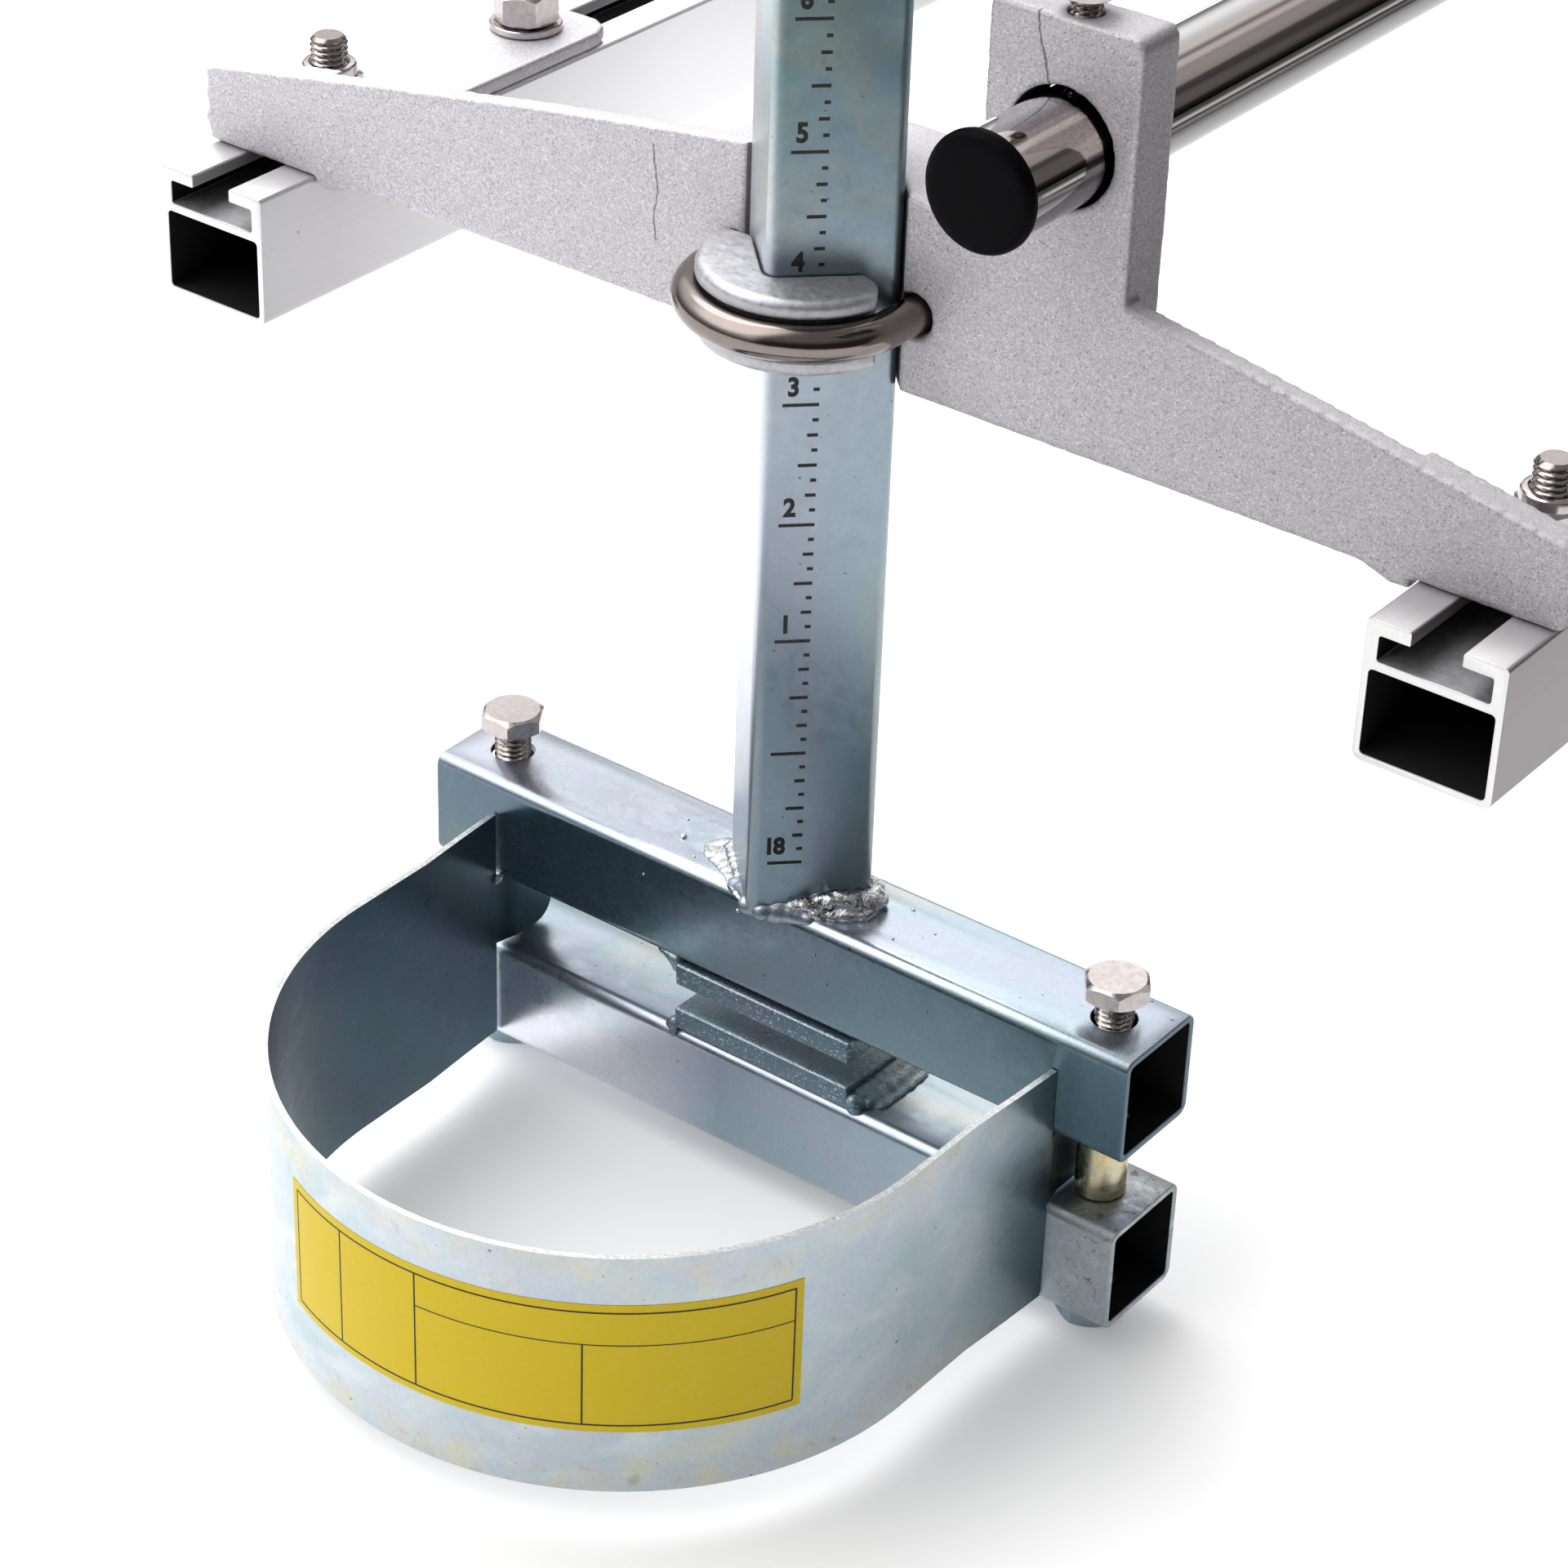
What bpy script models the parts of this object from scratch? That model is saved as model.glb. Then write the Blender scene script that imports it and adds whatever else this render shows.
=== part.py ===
"""Log cutting frame for a chainsaw: two slotted rails, two cast end brackets and two bar clamps on posts.

Metres, +Z up, rails along Y, clamp tubes along X. The frame stands on the nuts under its lower clamp tubes.
"""

import math

import bmesh
import bpy
from mathutils import Matrix

MM = 0.001
GAP = 0.3 * MM  # air between pieces that touch

# Rails
RAIL_LENGTH = 610 * MM
RAIL_WIDTH = 27.7 * MM
RAIL_HEIGHT = 28.1 * MM
RAIL_CENTRES = 285.7 * MM
SLOT_MOUTH = 10 * MM
SLOT_WIDTH = 22.3 * MM
SLOT_LIP = 2.8 * MM
SLOT_DEPTH = 7.8 * MM
RAIL_WALL = 1.45 * MM
RAIL_PARTITION = 1.9 * MM
RAIL_OVERHANG = 15.5 * MM  # rail end in front of the bracket's face

# Bar clamp: two square tubes with pads between them
TUBE = 24 * MM
TUBE_WALL = 1.6 * MM
TUBE_CORNER = 2.6 * MM
TUBE_LENGTH = 175 * MM
TUBE_SPACE = 17.2 * MM
BOLT_INSET = 11 * MM  # from a clamp tube's end to its bolt
BOLT_X = TUBE_LENGTH / 2 - BOLT_INSET
SPACER_R = 5.2 * MM
PAD_LENGTH = 44.5 * MM
PAD_THICK = 5.2 * MM
PAD_HANG = 0.8 * MM  # the upper pad's gap under its tube

# Post
POST = 25.4 * MM
POST_WALL = 2 * MM
POST_CORNER = 2.5 * MM
POST_LENGTH = 345 * MM

# Nose guard
GUARD_SHEET = 1.3 * MM
TONGUE_X = BOLT_X - SPACER_R - 0.5 * MM  # its ends pass just inside the spacers
LEG_X = TONGUE_X + 1.3 * MM  # its legs open out to meet the tubes' faces
GUARD_RADIUS = TONGUE_X - 0.4 * MM
GUARD_CENTRE_Y = -56 * MM
GUARD_DROP = 8 * MM  # its top edge below the upper tube's top
GUARD_HEIGHT = 55.4 * MM
TONGUE_START_Y = -7 * MM
TONGUE_END_Y = 4.2 * MM
TONGUE_CORNER = 5 * MM

# Bracket casting, measured from the post's axis and from the casting's underside
FACE_Y = -0.6 * MM
WEB = 4.4 * MM
RAIL_TOP_ABOVE_CLAMP = 116.1 * MM
END_BOSS = 2.4 * MM
BLOCK_X = 26 * MM
BLOCK_FLAT_X = 17.5 * MM
WEB_TOP = 39.4 * MM  # above the underside, at the post
WEB_END_TOP = 15.9 * MM
WEB_BENDS = (110 * MM, 66.3 * MM, 36 * MM)
BLOCK_BACK = 27.9 * MM
TOWER_LEFT = 34 * MM
TOWER_RIGHT = 66.3 * MM
TOWER_TOP = 82 * MM
TOWER_BACK = 10.9 * MM
HANDLE_X = 50.3 * MM
BORE_Z = 58.1 * MM
BORE_R = 11.2 * MM
RAIL_INNER_X = RAIL_CENTRES / 2 - RAIL_WIDTH / 2
FOOT_INNER_X = RAIL_INNER_X - 3 * MM
FOOT_OUTER_X = RAIL_INNER_X + RAIL_WIDTH - 0.4 * MM
WEB_END_X = FOOT_OUTER_X + 2.3 * MM
FOOT_THICK = 3.3 * MM
FOOT_TAPER_Y = 24 * MM
FOOT_END = 97 * MM
FOOT_BOLTS_Y = (20 * MM, 82.5 * MM)
LUG_DROP = 2.3 * MM

# Saddle and U-bolt that hold the post in the bracket's groove
CLAMP_Z = 16.3 * MM
CLAMP_CENTRE_Y = -6.5 * MM
U_RADIUS = 20.9 * MM
U_ROD = 3.6 * MM
SADDLE_RADIUS = 20.4 * MM
SADDLE_HALF = 7.6 * MM
SADDLE_ROUND = 2 * MM
SADDLE_AIR = 1 * MM  # the rim's groove is this much larger than the rod
SADDLE_BACK_Y = -5.6 * MM
U_END_Y = 40 * MM

# Handle tube
HANDLE_R = 10.4 * MM
HANDLE_WALL = 1.5 * MM
HANDLE_SINK = 0.4 * MM  # the tube lies low in its bore
HANDLE_REACH = 23 * MM
CAP_RIM = 1 * MM
CAP_HEAD = 3.4 * MM

# Metric hardware
M8 = 4 * MM
M8_FLATS = 12.8 * MM
M8_HEAD = 4.2 * MM
M8_NUT = 6.5 * MM
M8_LOCKNUT = 9.8 * MM
M8_WASHER_R = 8 * MM
M8_WASHER = 1.6 * MM
M8_HOLE = 4.5 * MM
M6 = 3 * MM
M6_FLATS = 10 * MM
M6_HEAD = 4 * MM
HEX_STEPS = 12  # facets round a bolt or a nut, two to each flat
BOLT_RAISE = {"left": 6 * MM, "right": 5.4 * MM}
BOLT_SHANK = 74 * MM
RAIL_BOLT_RISE = 21 * MM  # above the rail's top
RAIL_BOLT_HEAD = 4.4 * MM
SPACER_BORE = M8 + GAP

# Levels, from the surface that the frame stands on
LOWER_TUBE_Z = M8_NUT + GAP
UPPER_TUBE_Z = LOWER_TUBE_Z + TUBE + TUBE_SPACE
CLAMP_TOP_Z = UPPER_TUBE_Z + TUBE
RAIL_TOP_Z = CLAMP_TOP_Z + RAIL_TOP_ABOVE_CLAMP
CASTING_Z = RAIL_TOP_Z + GAP

# Places along the rails, with Y = 0 at the middle of the whole frame
POST_SPACING = RAIL_LENGTH - 2 * (RAIL_OVERHANG - FACE_Y)
FRONT_REACH = GUARD_RADIUS - GUARD_CENTRE_Y
BACK_REACH = U_RADIUS + U_ROD - CLAMP_CENTRE_Y
NEAR_Y = (FRONT_REACH - POST_SPACING - BACK_REACH) / 2
FAR_Y = NEAR_Y + POST_SPACING
RAIL_MID_Y = (NEAR_Y + FAR_Y) / 2

MATERIALS = {
    "zinc": ((0.56, 0.6, 0.64), 0.34, 0.9),
    "casting": ((0.55, 0.55, 0.56), 0.55, 0.75),
    "extrusion": ((0.78, 0.78, 0.79), 0.42, 0.85),
    "stainless": ((0.66, 0.62, 0.6), 0.28, 1.0),
    "chrome": ((0.8, 0.79, 0.78), 0.08, 1.0),
    "yellow_zinc": ((0.66, 0.55, 0.3), 0.32, 0.95),
    "black_plastic": ((0.03, 0.03, 0.032), 0.5, 0.0),
}


def clear_scene():
    for obj in list(bpy.data.objects):
        bpy.data.objects.remove(obj)


def material_for(node, kind):
    colour, roughness, metallic = MATERIALS[kind]
    material = bpy.data.materials.new(node)
    material.use_nodes = True
    shader = material.node_tree.nodes["Principled BSDF"]
    shader.inputs["Base Color"].default_value = (*colour, 1.0)
    shader.inputs["Roughness"].default_value = roughness
    shader.inputs["Metallic"].default_value = metallic
    material.diffuse_color = (*colour, 1.0)
    return material


def place(node, mesh, kind, parent, location=(0, 0, 0), turn=0.0):
    """One named object, with its own copy of the mesh, its own material and smooth round faces."""
    own = mesh.copy()
    own.name = node
    own.materials.clear()
    own.materials.append(material_for(node, kind))
    own.shade_smooth()
    own.set_sharp_from_angle(angle=math.radians(40))
    obj = bpy.data.objects.new(node, own)
    obj.parent = parent
    obj.location = location
    obj.rotation_euler = (0, 0, turn)
    bpy.context.scene.collection.objects.link(obj)
    return obj


def empty(name, location, parent=None):
    obj = bpy.data.objects.new(name, None)
    obj.empty_display_size = 0.02
    obj.parent = parent
    obj.location = location
    bpy.context.scene.collection.objects.link(obj)
    return obj


def finished(bm, name="shape"):
    bmesh.ops.recalc_face_normals(bm, faces=bm.faces)
    mesh = bpy.data.meshes.new(name)
    bm.to_mesh(mesh)
    bm.free()
    return mesh


def combined(base, other, operation):
    """One mesh from two by a Boolean."""
    scene = bpy.context.scene.collection
    body = bpy.data.objects.new("body", base)
    tool = bpy.data.objects.new("tool", other)
    scene.objects.link(body)
    scene.objects.link(tool)
    boolean = body.modifiers.new("join", "BOOLEAN")
    boolean.operation = operation
    boolean.solver = "EXACT"
    boolean.object = tool
    graph = bpy.context.evaluated_depsgraph_get()
    mesh = bpy.data.meshes.new_from_object(body.evaluated_get(graph))
    bpy.data.objects.remove(body)
    bpy.data.objects.remove(tool)
    return mesh


def cut(base, *tools):
    for tool in tools:
        base = combined(base, tool, "DIFFERENCE")
    return base


def joined(base, *others):
    for other in others:
        base = combined(base, other, "UNION")
    return base


def shifted(mesh, x=0.0, y=0.0, z=0.0):
    moved = mesh.copy()
    moved.transform(Matrix.Translation((x, y, z)))
    return moved


def turned(mesh, degrees, axis):
    moved = mesh.copy()
    moved.transform(Matrix.Rotation(math.radians(degrees), 4, axis))
    return moved


def rounded(points, radii, steps=3):
    """A polygon with the named corners turned into arcs. radii is one radius or one for each corner."""
    if isinstance(radii, (int, float)):
        radii = [radii] * len(points)
    outline = []
    for i, (x, y) in enumerate(points):
        radius = radii[i]
        if not radius:
            outline.append((x, y))
            continue
        before = points[i - 1]
        after = points[(i + 1) % len(points)]
        to_before = math.atan2(before[1] - y, before[0] - x)
        to_after = math.atan2(after[1] - y, after[0] - x)
        half = ((to_after - to_before + math.pi) % (2 * math.pi) - math.pi) / 2
        reach = radius / math.tan(abs(half))
        middle = to_before + half
        centre_x = x + radius / math.sin(abs(half)) * math.cos(middle)
        centre_y = y + radius / math.sin(abs(half)) * math.sin(middle)
        start = (x + reach * math.cos(to_before), y + reach * math.sin(to_before))
        first = math.atan2(start[1] - centre_y, start[0] - centre_x)
        sweep = math.pi - 2 * abs(half)
        sweep = -sweep if half < 0 else sweep
        for k in range(steps + 1):
            angle = first - sweep * k / steps
            outline.append((centre_x + radius * math.cos(angle), centre_y + radius * math.sin(angle)))
    return outline


def rectangle(width, height, x=0.0, y=0.0):
    a = width / 2
    b = height / 2
    return [(x - a, y - b), (x + a, y - b), (x + a, y + b), (x - a, y + b)]


def prism(outline, low, high, axis="Z"):
    """Extrudes a flat outline. Along X the outline is (y, z), along Y it is (x, z), along Z it is (x, y)."""
    place_point = {
        "X": lambda a, b, h: (h, a, b),
        "Y": lambda a, b, h: (a, h, b),
        "Z": lambda a, b, h: (a, b, h),
    }[axis]
    bm = bmesh.new()
    face = bm.faces.new([bm.verts.new(place_point(a, b, low)) for a, b in outline])
    made = bmesh.ops.extrude_face_region(bm, geom=[face])["geom"]
    moved = [item for item in made if isinstance(item, bmesh.types.BMVert)]
    bmesh.ops.translate(bm, verts=moved, vec=place_point(0, 0, high - low))
    return finished(bm)


def square_tube(side, wall, corner, length, axis):
    """A square tube with round corners and open ends, centred on its axis, starting at 0."""
    outer = rounded(rectangle(side, side), corner)
    inner = rounded(rectangle(side - 2 * wall, side - 2 * wall), max(corner - wall, 0.3 * MM))
    bm = bmesh.new()
    rings = []
    for height in (0, length):
        for loop in (outer, inner):
            points = [(height, a, b) if axis == "X" else (a, b, height) for a, b in loop]
            rings.append([bm.verts.new(point) for point in points])
    outer_low, inner_low, outer_high, inner_high = rings
    count = len(outer)
    sides = ((outer_low, outer_high), (inner_low, inner_high))
    ends = ((outer_low, inner_low), (outer_high, inner_high))
    for one, other in sides + ends:
        for i in range(count):
            j = (i + 1) % count
            bm.faces.new((one[i], one[j], other[j], other[i]))
    return finished(bm)


def skin(rings, closed=False):
    """Joins rings of points, each with the same count or only one point, into a solid."""
    bm = bmesh.new()
    loops = [[bm.verts.new(point) for point in points] for points in rings]
    count = max(len(loop) for loop in loops)
    spans = list(zip(loops, loops[1:])) + ([(loops[-1], loops[0])] if closed else [])
    for one, other in spans:
        for i in range(count):
            j = (i + 1) % count
            if len(one) == 1:
                bm.faces.new((one[0], other[j], other[i]))
            elif len(other) == 1:
                bm.faces.new((one[i], one[j], other[0]))
            else:
                bm.faces.new((one[i], one[j], other[j], other[i]))
    return finished(bm)


def circle(radius, z, steps):
    if radius < 1e-9:
        return [(0, 0, z)]
    angles = [2 * math.pi * i / steps for i in range(steps)]
    return [(radius * math.cos(a), radius * math.sin(a), z) for a in angles]


def turned_solid(profile, steps):
    """Spins an (r, z) profile round Z. It starts and ends on the axis, or closes on itself round a bore."""
    return skin([circle(radius, z, steps) for radius, z in profile], profile[0][0] > 1e-9)


def cylinder(radius, low, high, steps=24, axis="Z"):
    mesh = turned_solid([(0, low), (radius, low), (radius, high), (0, high)], steps)
    if axis == "X":
        return turned(mesh, 90, "Y")
    if axis == "Y":
        return turned(mesh, -90, "X")
    return mesh


def ring(inner, outer, height, steps=16):
    return turned_solid([(inner, 0), (outer, 0), (outer, height), (inner, height)], steps)


def hexagon(flats, z, chamfer=0):
    """The rings of one end of a hexagon. chamfer is +1 or -1 for a cone at its upper or lower end."""
    rings = [[], []]
    bearing = 0.475 * flats
    for i in range(HEX_STEPS):
        angle = 2 * math.pi * i / HEX_STEPS
        radius = flats / 2 / math.cos((angle + math.pi / 6) % (math.pi / 3) - math.pi / 6)
        drop = chamfer * (radius - bearing) * math.tan(math.radians(30))
        rings[0].append((radius * math.cos(angle), radius * math.sin(angle), z - drop))
        rings[1].append((bearing * math.cos(angle), bearing * math.sin(angle), z))
    if not chamfer:
        return rings[:1]
    return rings if chamfer > 0 else rings[::-1]


def hex_bolt(radius, flats, head, length):
    """Head above z = 0, shank below it, with a blunt point."""
    tip = 0.8 * MM
    shank = [(0, -length), (radius - tip, -length), (radius, tip - length), (radius, 0)]
    rings = [circle(r, z, HEX_STEPS) for r, z in shank]
    return skin(rings + hexagon(flats, 0) + hexagon(flats, head, 1) + [[(0, 0, head)]])


def nut(flats, height, bore):
    rings = hexagon(flats, 0, -1) + hexagon(flats, height, 1)
    return skin([circle(bore, 0, HEX_STEPS)] + rings + [circle(bore, height, HEX_STEPS)], True)


def lock_nut(flats, height, bore, washer_r, washer):
    """A lock nut on its washer: a hexagon under the round collar that holds the locking ring."""
    shoulder = washer + 0.68 * height
    top = washer + height
    neck = 0.44 * flats
    edge = 0.25 * MM
    disc = [(bore, 0), (washer_r, 0), (washer_r, washer - edge), (washer_r - edge, washer)]
    collar = [(neck, shoulder), (neck, top - 3 * edge), (neck - 4 * edge, top)]
    rings = [circle(r, z, HEX_STEPS) for r, z in disc]
    rings += hexagon(flats, washer, -1) + hexagon(flats, shoulder, 1)
    return skin(rings + [circle(r, z, HEX_STEPS) for r, z in collar + [(bore, top)]], True)


def rod(points, radii, sides):
    """A round bar swept along points that lie in a level plane."""
    bm = bmesh.new()
    rings = []
    for i, (x, y) in enumerate(points):
        ahead = points[min(i + 1, len(points) - 1)]
        behind = points[max(i - 1, 0)]
        heading = math.atan2(ahead[1] - behind[1], ahead[0] - behind[0])
        across = (-math.sin(heading), math.cos(heading))
        loop = []
        for k in range(sides):
            angle = 2 * math.pi * k / sides
            out = radii[i] * math.cos(angle)
            loop.append(bm.verts.new((x + out * across[0], y + out * across[1], radii[i] * math.sin(angle))))
        rings.append(loop)
    for one, other in zip(rings, rings[1:]):
        for k in range(sides):
            j = (k + 1) % sides
            bm.faces.new((one[k], one[j], other[j], other[k]))
    bm.faces.new(rings[0])
    bm.faces.new(rings[-1])
    return finished(bm)


def rail_mesh():
    """T-slot over a square cavity, with its top at z = 0 and its middle at y = 0."""
    half = RAIL_WIDTH / 2
    mouth = SLOT_MOUTH / 2
    slot = SLOT_WIDTH / 2
    side = [(-half, 0), (-half, -RAIL_HEIGHT), (half, -RAIL_HEIGHT), (half, 0)]
    right = [(mouth, 0), (mouth, -SLOT_LIP), (slot, -SLOT_LIP), (slot, -SLOT_DEPTH)]
    left = [(-a, b) for a, b in reversed(right)]
    soft = 0.6 * MM
    radii = [soft, 1.6 * MM, 1.6 * MM, soft, 0.4 * MM] + [0] * 6 + [0.4 * MM]
    outline = rounded(side + right + left, radii, 3)
    body = prism(outline, -RAIL_LENGTH / 2, RAIL_LENGTH / 2, "Y")
    roof = -SLOT_DEPTH - RAIL_PARTITION
    floor = -RAIL_HEIGHT + RAIL_WALL
    cavity = rounded(rectangle(RAIL_WIDTH - 2 * RAIL_WALL, roof - floor, 0, (roof + floor) / 2), 0.5 * MM, 2)
    return cut(body, prism(cavity, -RAIL_LENGTH, RAIL_LENGTH, "Y"))


def top_of_web(x):
    """Height of the casting's top edge, which falls from the post to the ends."""
    outer, middle, inner = WEB_BENDS
    steps = [(0, WEB_TOP), (BLOCK_FLAT_X, WEB_TOP), (inner, 36.8 * MM), (middle, 32.2 * MM)]
    steps += [(outer, 24.8 * MM), (WEB_END_X, WEB_END_TOP)]
    x = abs(x)
    for (x0, z0), (x1, z1) in zip(steps, steps[1:]):
        if x <= x1:
            return z0 + (z1 - z0) * (x - x0) / (x1 - x0)
    return WEB_END_TOP


def casting_regions():
    """The casting's face as flat regions that share their edges: each is drawn back to its own depth."""
    end = WEB_END_X
    step = FOOT_THICK
    inner = FOOT_INNER_X
    lug_x = [RAIL_INNER_X - back for back in (11.5 * MM, 4.5 * MM, 1 * MM, 0.6 * MM)]
    lug = [(lug_x[0], 0), (lug_x[1], -LUG_DROP), (lug_x[2], -LUG_DROP), (lug_x[3], 0)]
    top_in = top_of_web(inner)
    corner = [(FOOT_OUTER_X, 0), (end, 0), (end, top_of_web(end)), (inner, top_in)]
    corner = rounded(corner, [0, 2.2 * MM, 3 * MM, 0], 3)
    regions = []
    for side in (1, -1):
        foot = [(inner, 0), (lug_x[3], 0), (FOOT_OUTER_X, 0), (FOOT_OUTER_X, step), (inner, step)]
        boss = [(inner, step), (FOOT_OUTER_X, step)] + corner
        tab = lug[:3] + [lug[3], (inner, 0)]
        start = TOWER_RIGHT if side == 1 else BLOCK_X
        web = [(start, 0), lug[0], (inner, 0), (inner, step), (inner, top_in)]
        bends = WEB_BENDS if side == -1 else WEB_BENDS[:1]
        web += [(x, top_of_web(x)) for x in bends + (start,)]
        for name, outline in (("foot", foot), ("boss", boss), ("lug", tab), ("web", web)):
            regions.append((name, [(side * x, z) for x, z in outline]))
    block_top = top_of_web(BLOCK_X)
    flat = BLOCK_FLAT_X
    block = [(-BLOCK_X, 0), (BLOCK_X, 0), (BLOCK_X, block_top), (flat, top_of_web(flat))]
    block += [(-flat, top_of_web(flat)), (-BLOCK_X, block_top)]
    between = [(BLOCK_X, 0), (TOWER_LEFT, 0), (TOWER_LEFT, top_of_web(TOWER_LEFT)), (BLOCK_X, block_top)]
    tower = [(TOWER_LEFT, 0), (TOWER_RIGHT, 0), (TOWER_RIGHT, top_of_web(TOWER_RIGHT))]
    tower += [(TOWER_RIGHT, TOWER_TOP), (TOWER_LEFT, TOWER_TOP), (TOWER_LEFT, top_of_web(TOWER_LEFT))]
    tower = rounded(tower, [0, 0, 0, 1.6 * MM, 1.6 * MM, 0], 3)
    return regions + [("block", block), ("web", between), ("tower", tower)]


def pull(bm, faces, distance, hollow=True):
    """Draws faces along Y and gives back the moved faces."""
    made = bmesh.ops.extrude_face_region(bm, geom=faces)["geom"]
    if hollow:
        bmesh.ops.delete(bm, geom=faces, context="FACES")
    moved = [item for item in made if isinstance(item, bmesh.types.BMVert)]
    bmesh.ops.translate(bm, verts=moved, vec=(0, distance, 0))
    return [item for item in made if isinstance(item, bmesh.types.BMFace)]


def draw_foot(bm, foot, back, side):
    """Draws one foot back along its rail, narrowed to the rail's width and rounded at its far corners."""
    reached = WEB + FACE_Y + END_BOSS
    low = FOOT_INNER_X
    high = FOOT_OUTER_X
    round_from = FOOT_END - 6 * MM
    round_to = FOOT_END - 2.2 * MM
    stages = ((FOOT_TAPER_Y, 0), (round_from, 0), (round_to, 1.6 * MM), (FOOT_END, 5.5 * MM))
    for depth, inset in stages:
        foot = pull(bm, foot, back * (depth - reached))
        reached = depth
        new_low = RAIL_INNER_X + 0.4 * MM + inset
        new_high = FOOT_OUTER_X - inset
        for vert in {v for face in foot for v in face.verts}:
            share = (abs(vert.co.x) - low) / (high - low)
            vert.co.x = side * (new_low + share * (new_high - new_low))
        low = new_low
        high = new_high


def casting_mesh(back):
    """The bracket casting. back is +1 when its feet run along +Y, and -1 for its mirror image."""
    bm = bmesh.new()
    corners = {}
    faces = []
    for name, outline in casting_regions():
        loop = []
        for x, z in outline:
            key = (round(x / MM, 3), round(z / MM, 3))
            if key not in corners:
                corners[key] = bm.verts.new((x, back * FACE_Y, z))
            if not loop or loop[-1] is not corners[key]:
                loop.append(corners[key])
        faces.append((name, bm.faces.new(loop)))
    marks = {"web": 0, "block": 1, "tower": 2, "boss": 3, "foot": 4, "lug": 5}
    for name, face in faces:
        face.material_index = marks[name]
    rear = pull(bm, [face for _, face in faces], back * WEB, False)
    deeper = {}
    for face in rear:
        side = 1 if face.calc_center_median().x > 0 else -1
        group = face.material_index if face.material_index in (1, 2) else side * 3
        if face.material_index in (1, 2, 3, 4):
            deeper.setdefault(group, []).append(face)
    pull(bm, deeper[1], back * (BLOCK_BACK - WEB - FACE_Y))
    pull(bm, deeper[2], back * (TOWER_BACK - WEB - FACE_Y))
    for side in (1, -1):
        group = pull(bm, deeper[side * 3], back * END_BOSS)
        draw_foot(bm, [face for face in group if face.material_index == 4], back, side)
    for face in bm.faces:
        face.material_index = 0
    bmesh.ops.dissolve_limit(
        bm, angle_limit=math.radians(0.5), verts=bm.verts, edges=bm.edges, use_dissolve_boundaries=False
    )
    bmesh.ops.recalc_face_normals(bm, faces=bm.faces)
    rim = [edge for edge in bm.edges if edge.is_manifold and edge.calc_length() > 3 * MM]
    rim = [edge for edge in rim if abs(edge.calc_face_angle_signed()) > math.radians(40)]
    bmesh.ops.bevel(bm, geom=rim, offset=0.7 * MM, segments=1, affect="EDGES", clamp_overlap=True)
    bmesh.ops.remove_doubles(bm, verts=bm.verts, dist=0.02 * MM)
    body = finished(bm)
    return cut(body, *casting_cutters(back))


def casting_cutters(back):
    """The post's groove and the holes for the U-bolt, the handle, its clamp bolt and the rail bolts."""
    reach = (POST / 2 + GAP) * math.sqrt(2)
    corner = 1.2 * MM
    vee = [(reach, -9 * MM), (reach, 0), (0, reach), (-reach, 0), (-reach, -9 * MM)]
    vee = rounded(vee, [0, 0, corner, 0, 0], 3)
    groove = prism([(x, back * y) for x, y in vee], -20 * MM, 60 * MM)
    tools = [groove]
    for x in (U_RADIUS, -U_RADIUS):
        tools.append(shifted(cylinder(M8 + GAP, -60 * MM, 60 * MM, 16, "Y"), x, 0, CLAMP_Z))
    tools.append(shifted(cylinder(BORE_R, -60 * MM, 60 * MM, 32, "Y"), HANDLE_X, 0, BORE_Z))
    middle = back * (FACE_Y + TOWER_BACK) / 2
    tools.append(shifted(cylinder(M6 + GAP, BORE_Z, TOWER_TOP + 5 * MM, 12), HANDLE_X, middle, 0))
    for y in FOOT_BOLTS_Y:
        for side in (1, -1):
            hole = cylinder(M8_HOLE, -5 * MM, 9 * MM, 16)
            tools.append(shifted(hole, side * RAIL_CENTRES / 2, back * y, 0))
    return tools


def saddle_mesh():
    """A half disc with a round groove in its rim for the U-bolt and a V in its back for the post's corner."""
    flat = SADDLE_HALF
    groove = U_ROD + SADDLE_AIR
    centre = U_RADIUS + SADDLE_AIR - GAP
    start = math.acos((centre - SADDLE_RADIUS) / groove)
    edge = min(SADDLE_ROUND, 0.9 * (flat - groove * math.sin(start)))
    lip = [(SADDLE_RADIUS - edge + edge * math.sin(a), -flat + edge - edge * math.cos(a)) for a in quarter(3)]
    trough = []
    for k in range(7):
        angle = math.pi + start - 2 * start * k / 6
        trough.append((centre + groove * math.cos(angle), groove * math.sin(angle)))
    trough.sort(key=lambda point: point[1])
    upper = [(radius, -z) for radius, z in reversed(lip)]
    disc = turned_solid([(0, -flat)] + lip + trough + upper + [(0, flat)], 32)
    away = 60 * MM
    back = prism(rectangle(away, away, 0, SADDLE_BACK_Y - CLAMP_CENTRE_Y + away / 2), -away, away)
    side = POST + 2 * GAP
    notch = turned(prism(rounded(rectangle(side, side), POST_CORNER + GAP), -away, away), 45, "Z")
    return cut(disc, back, shifted(notch, 0, -CLAMP_CENTRE_Y, 0))


def quarter(count):
    return [math.pi / 2 * k / count for k in range(count + 1)]


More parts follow.
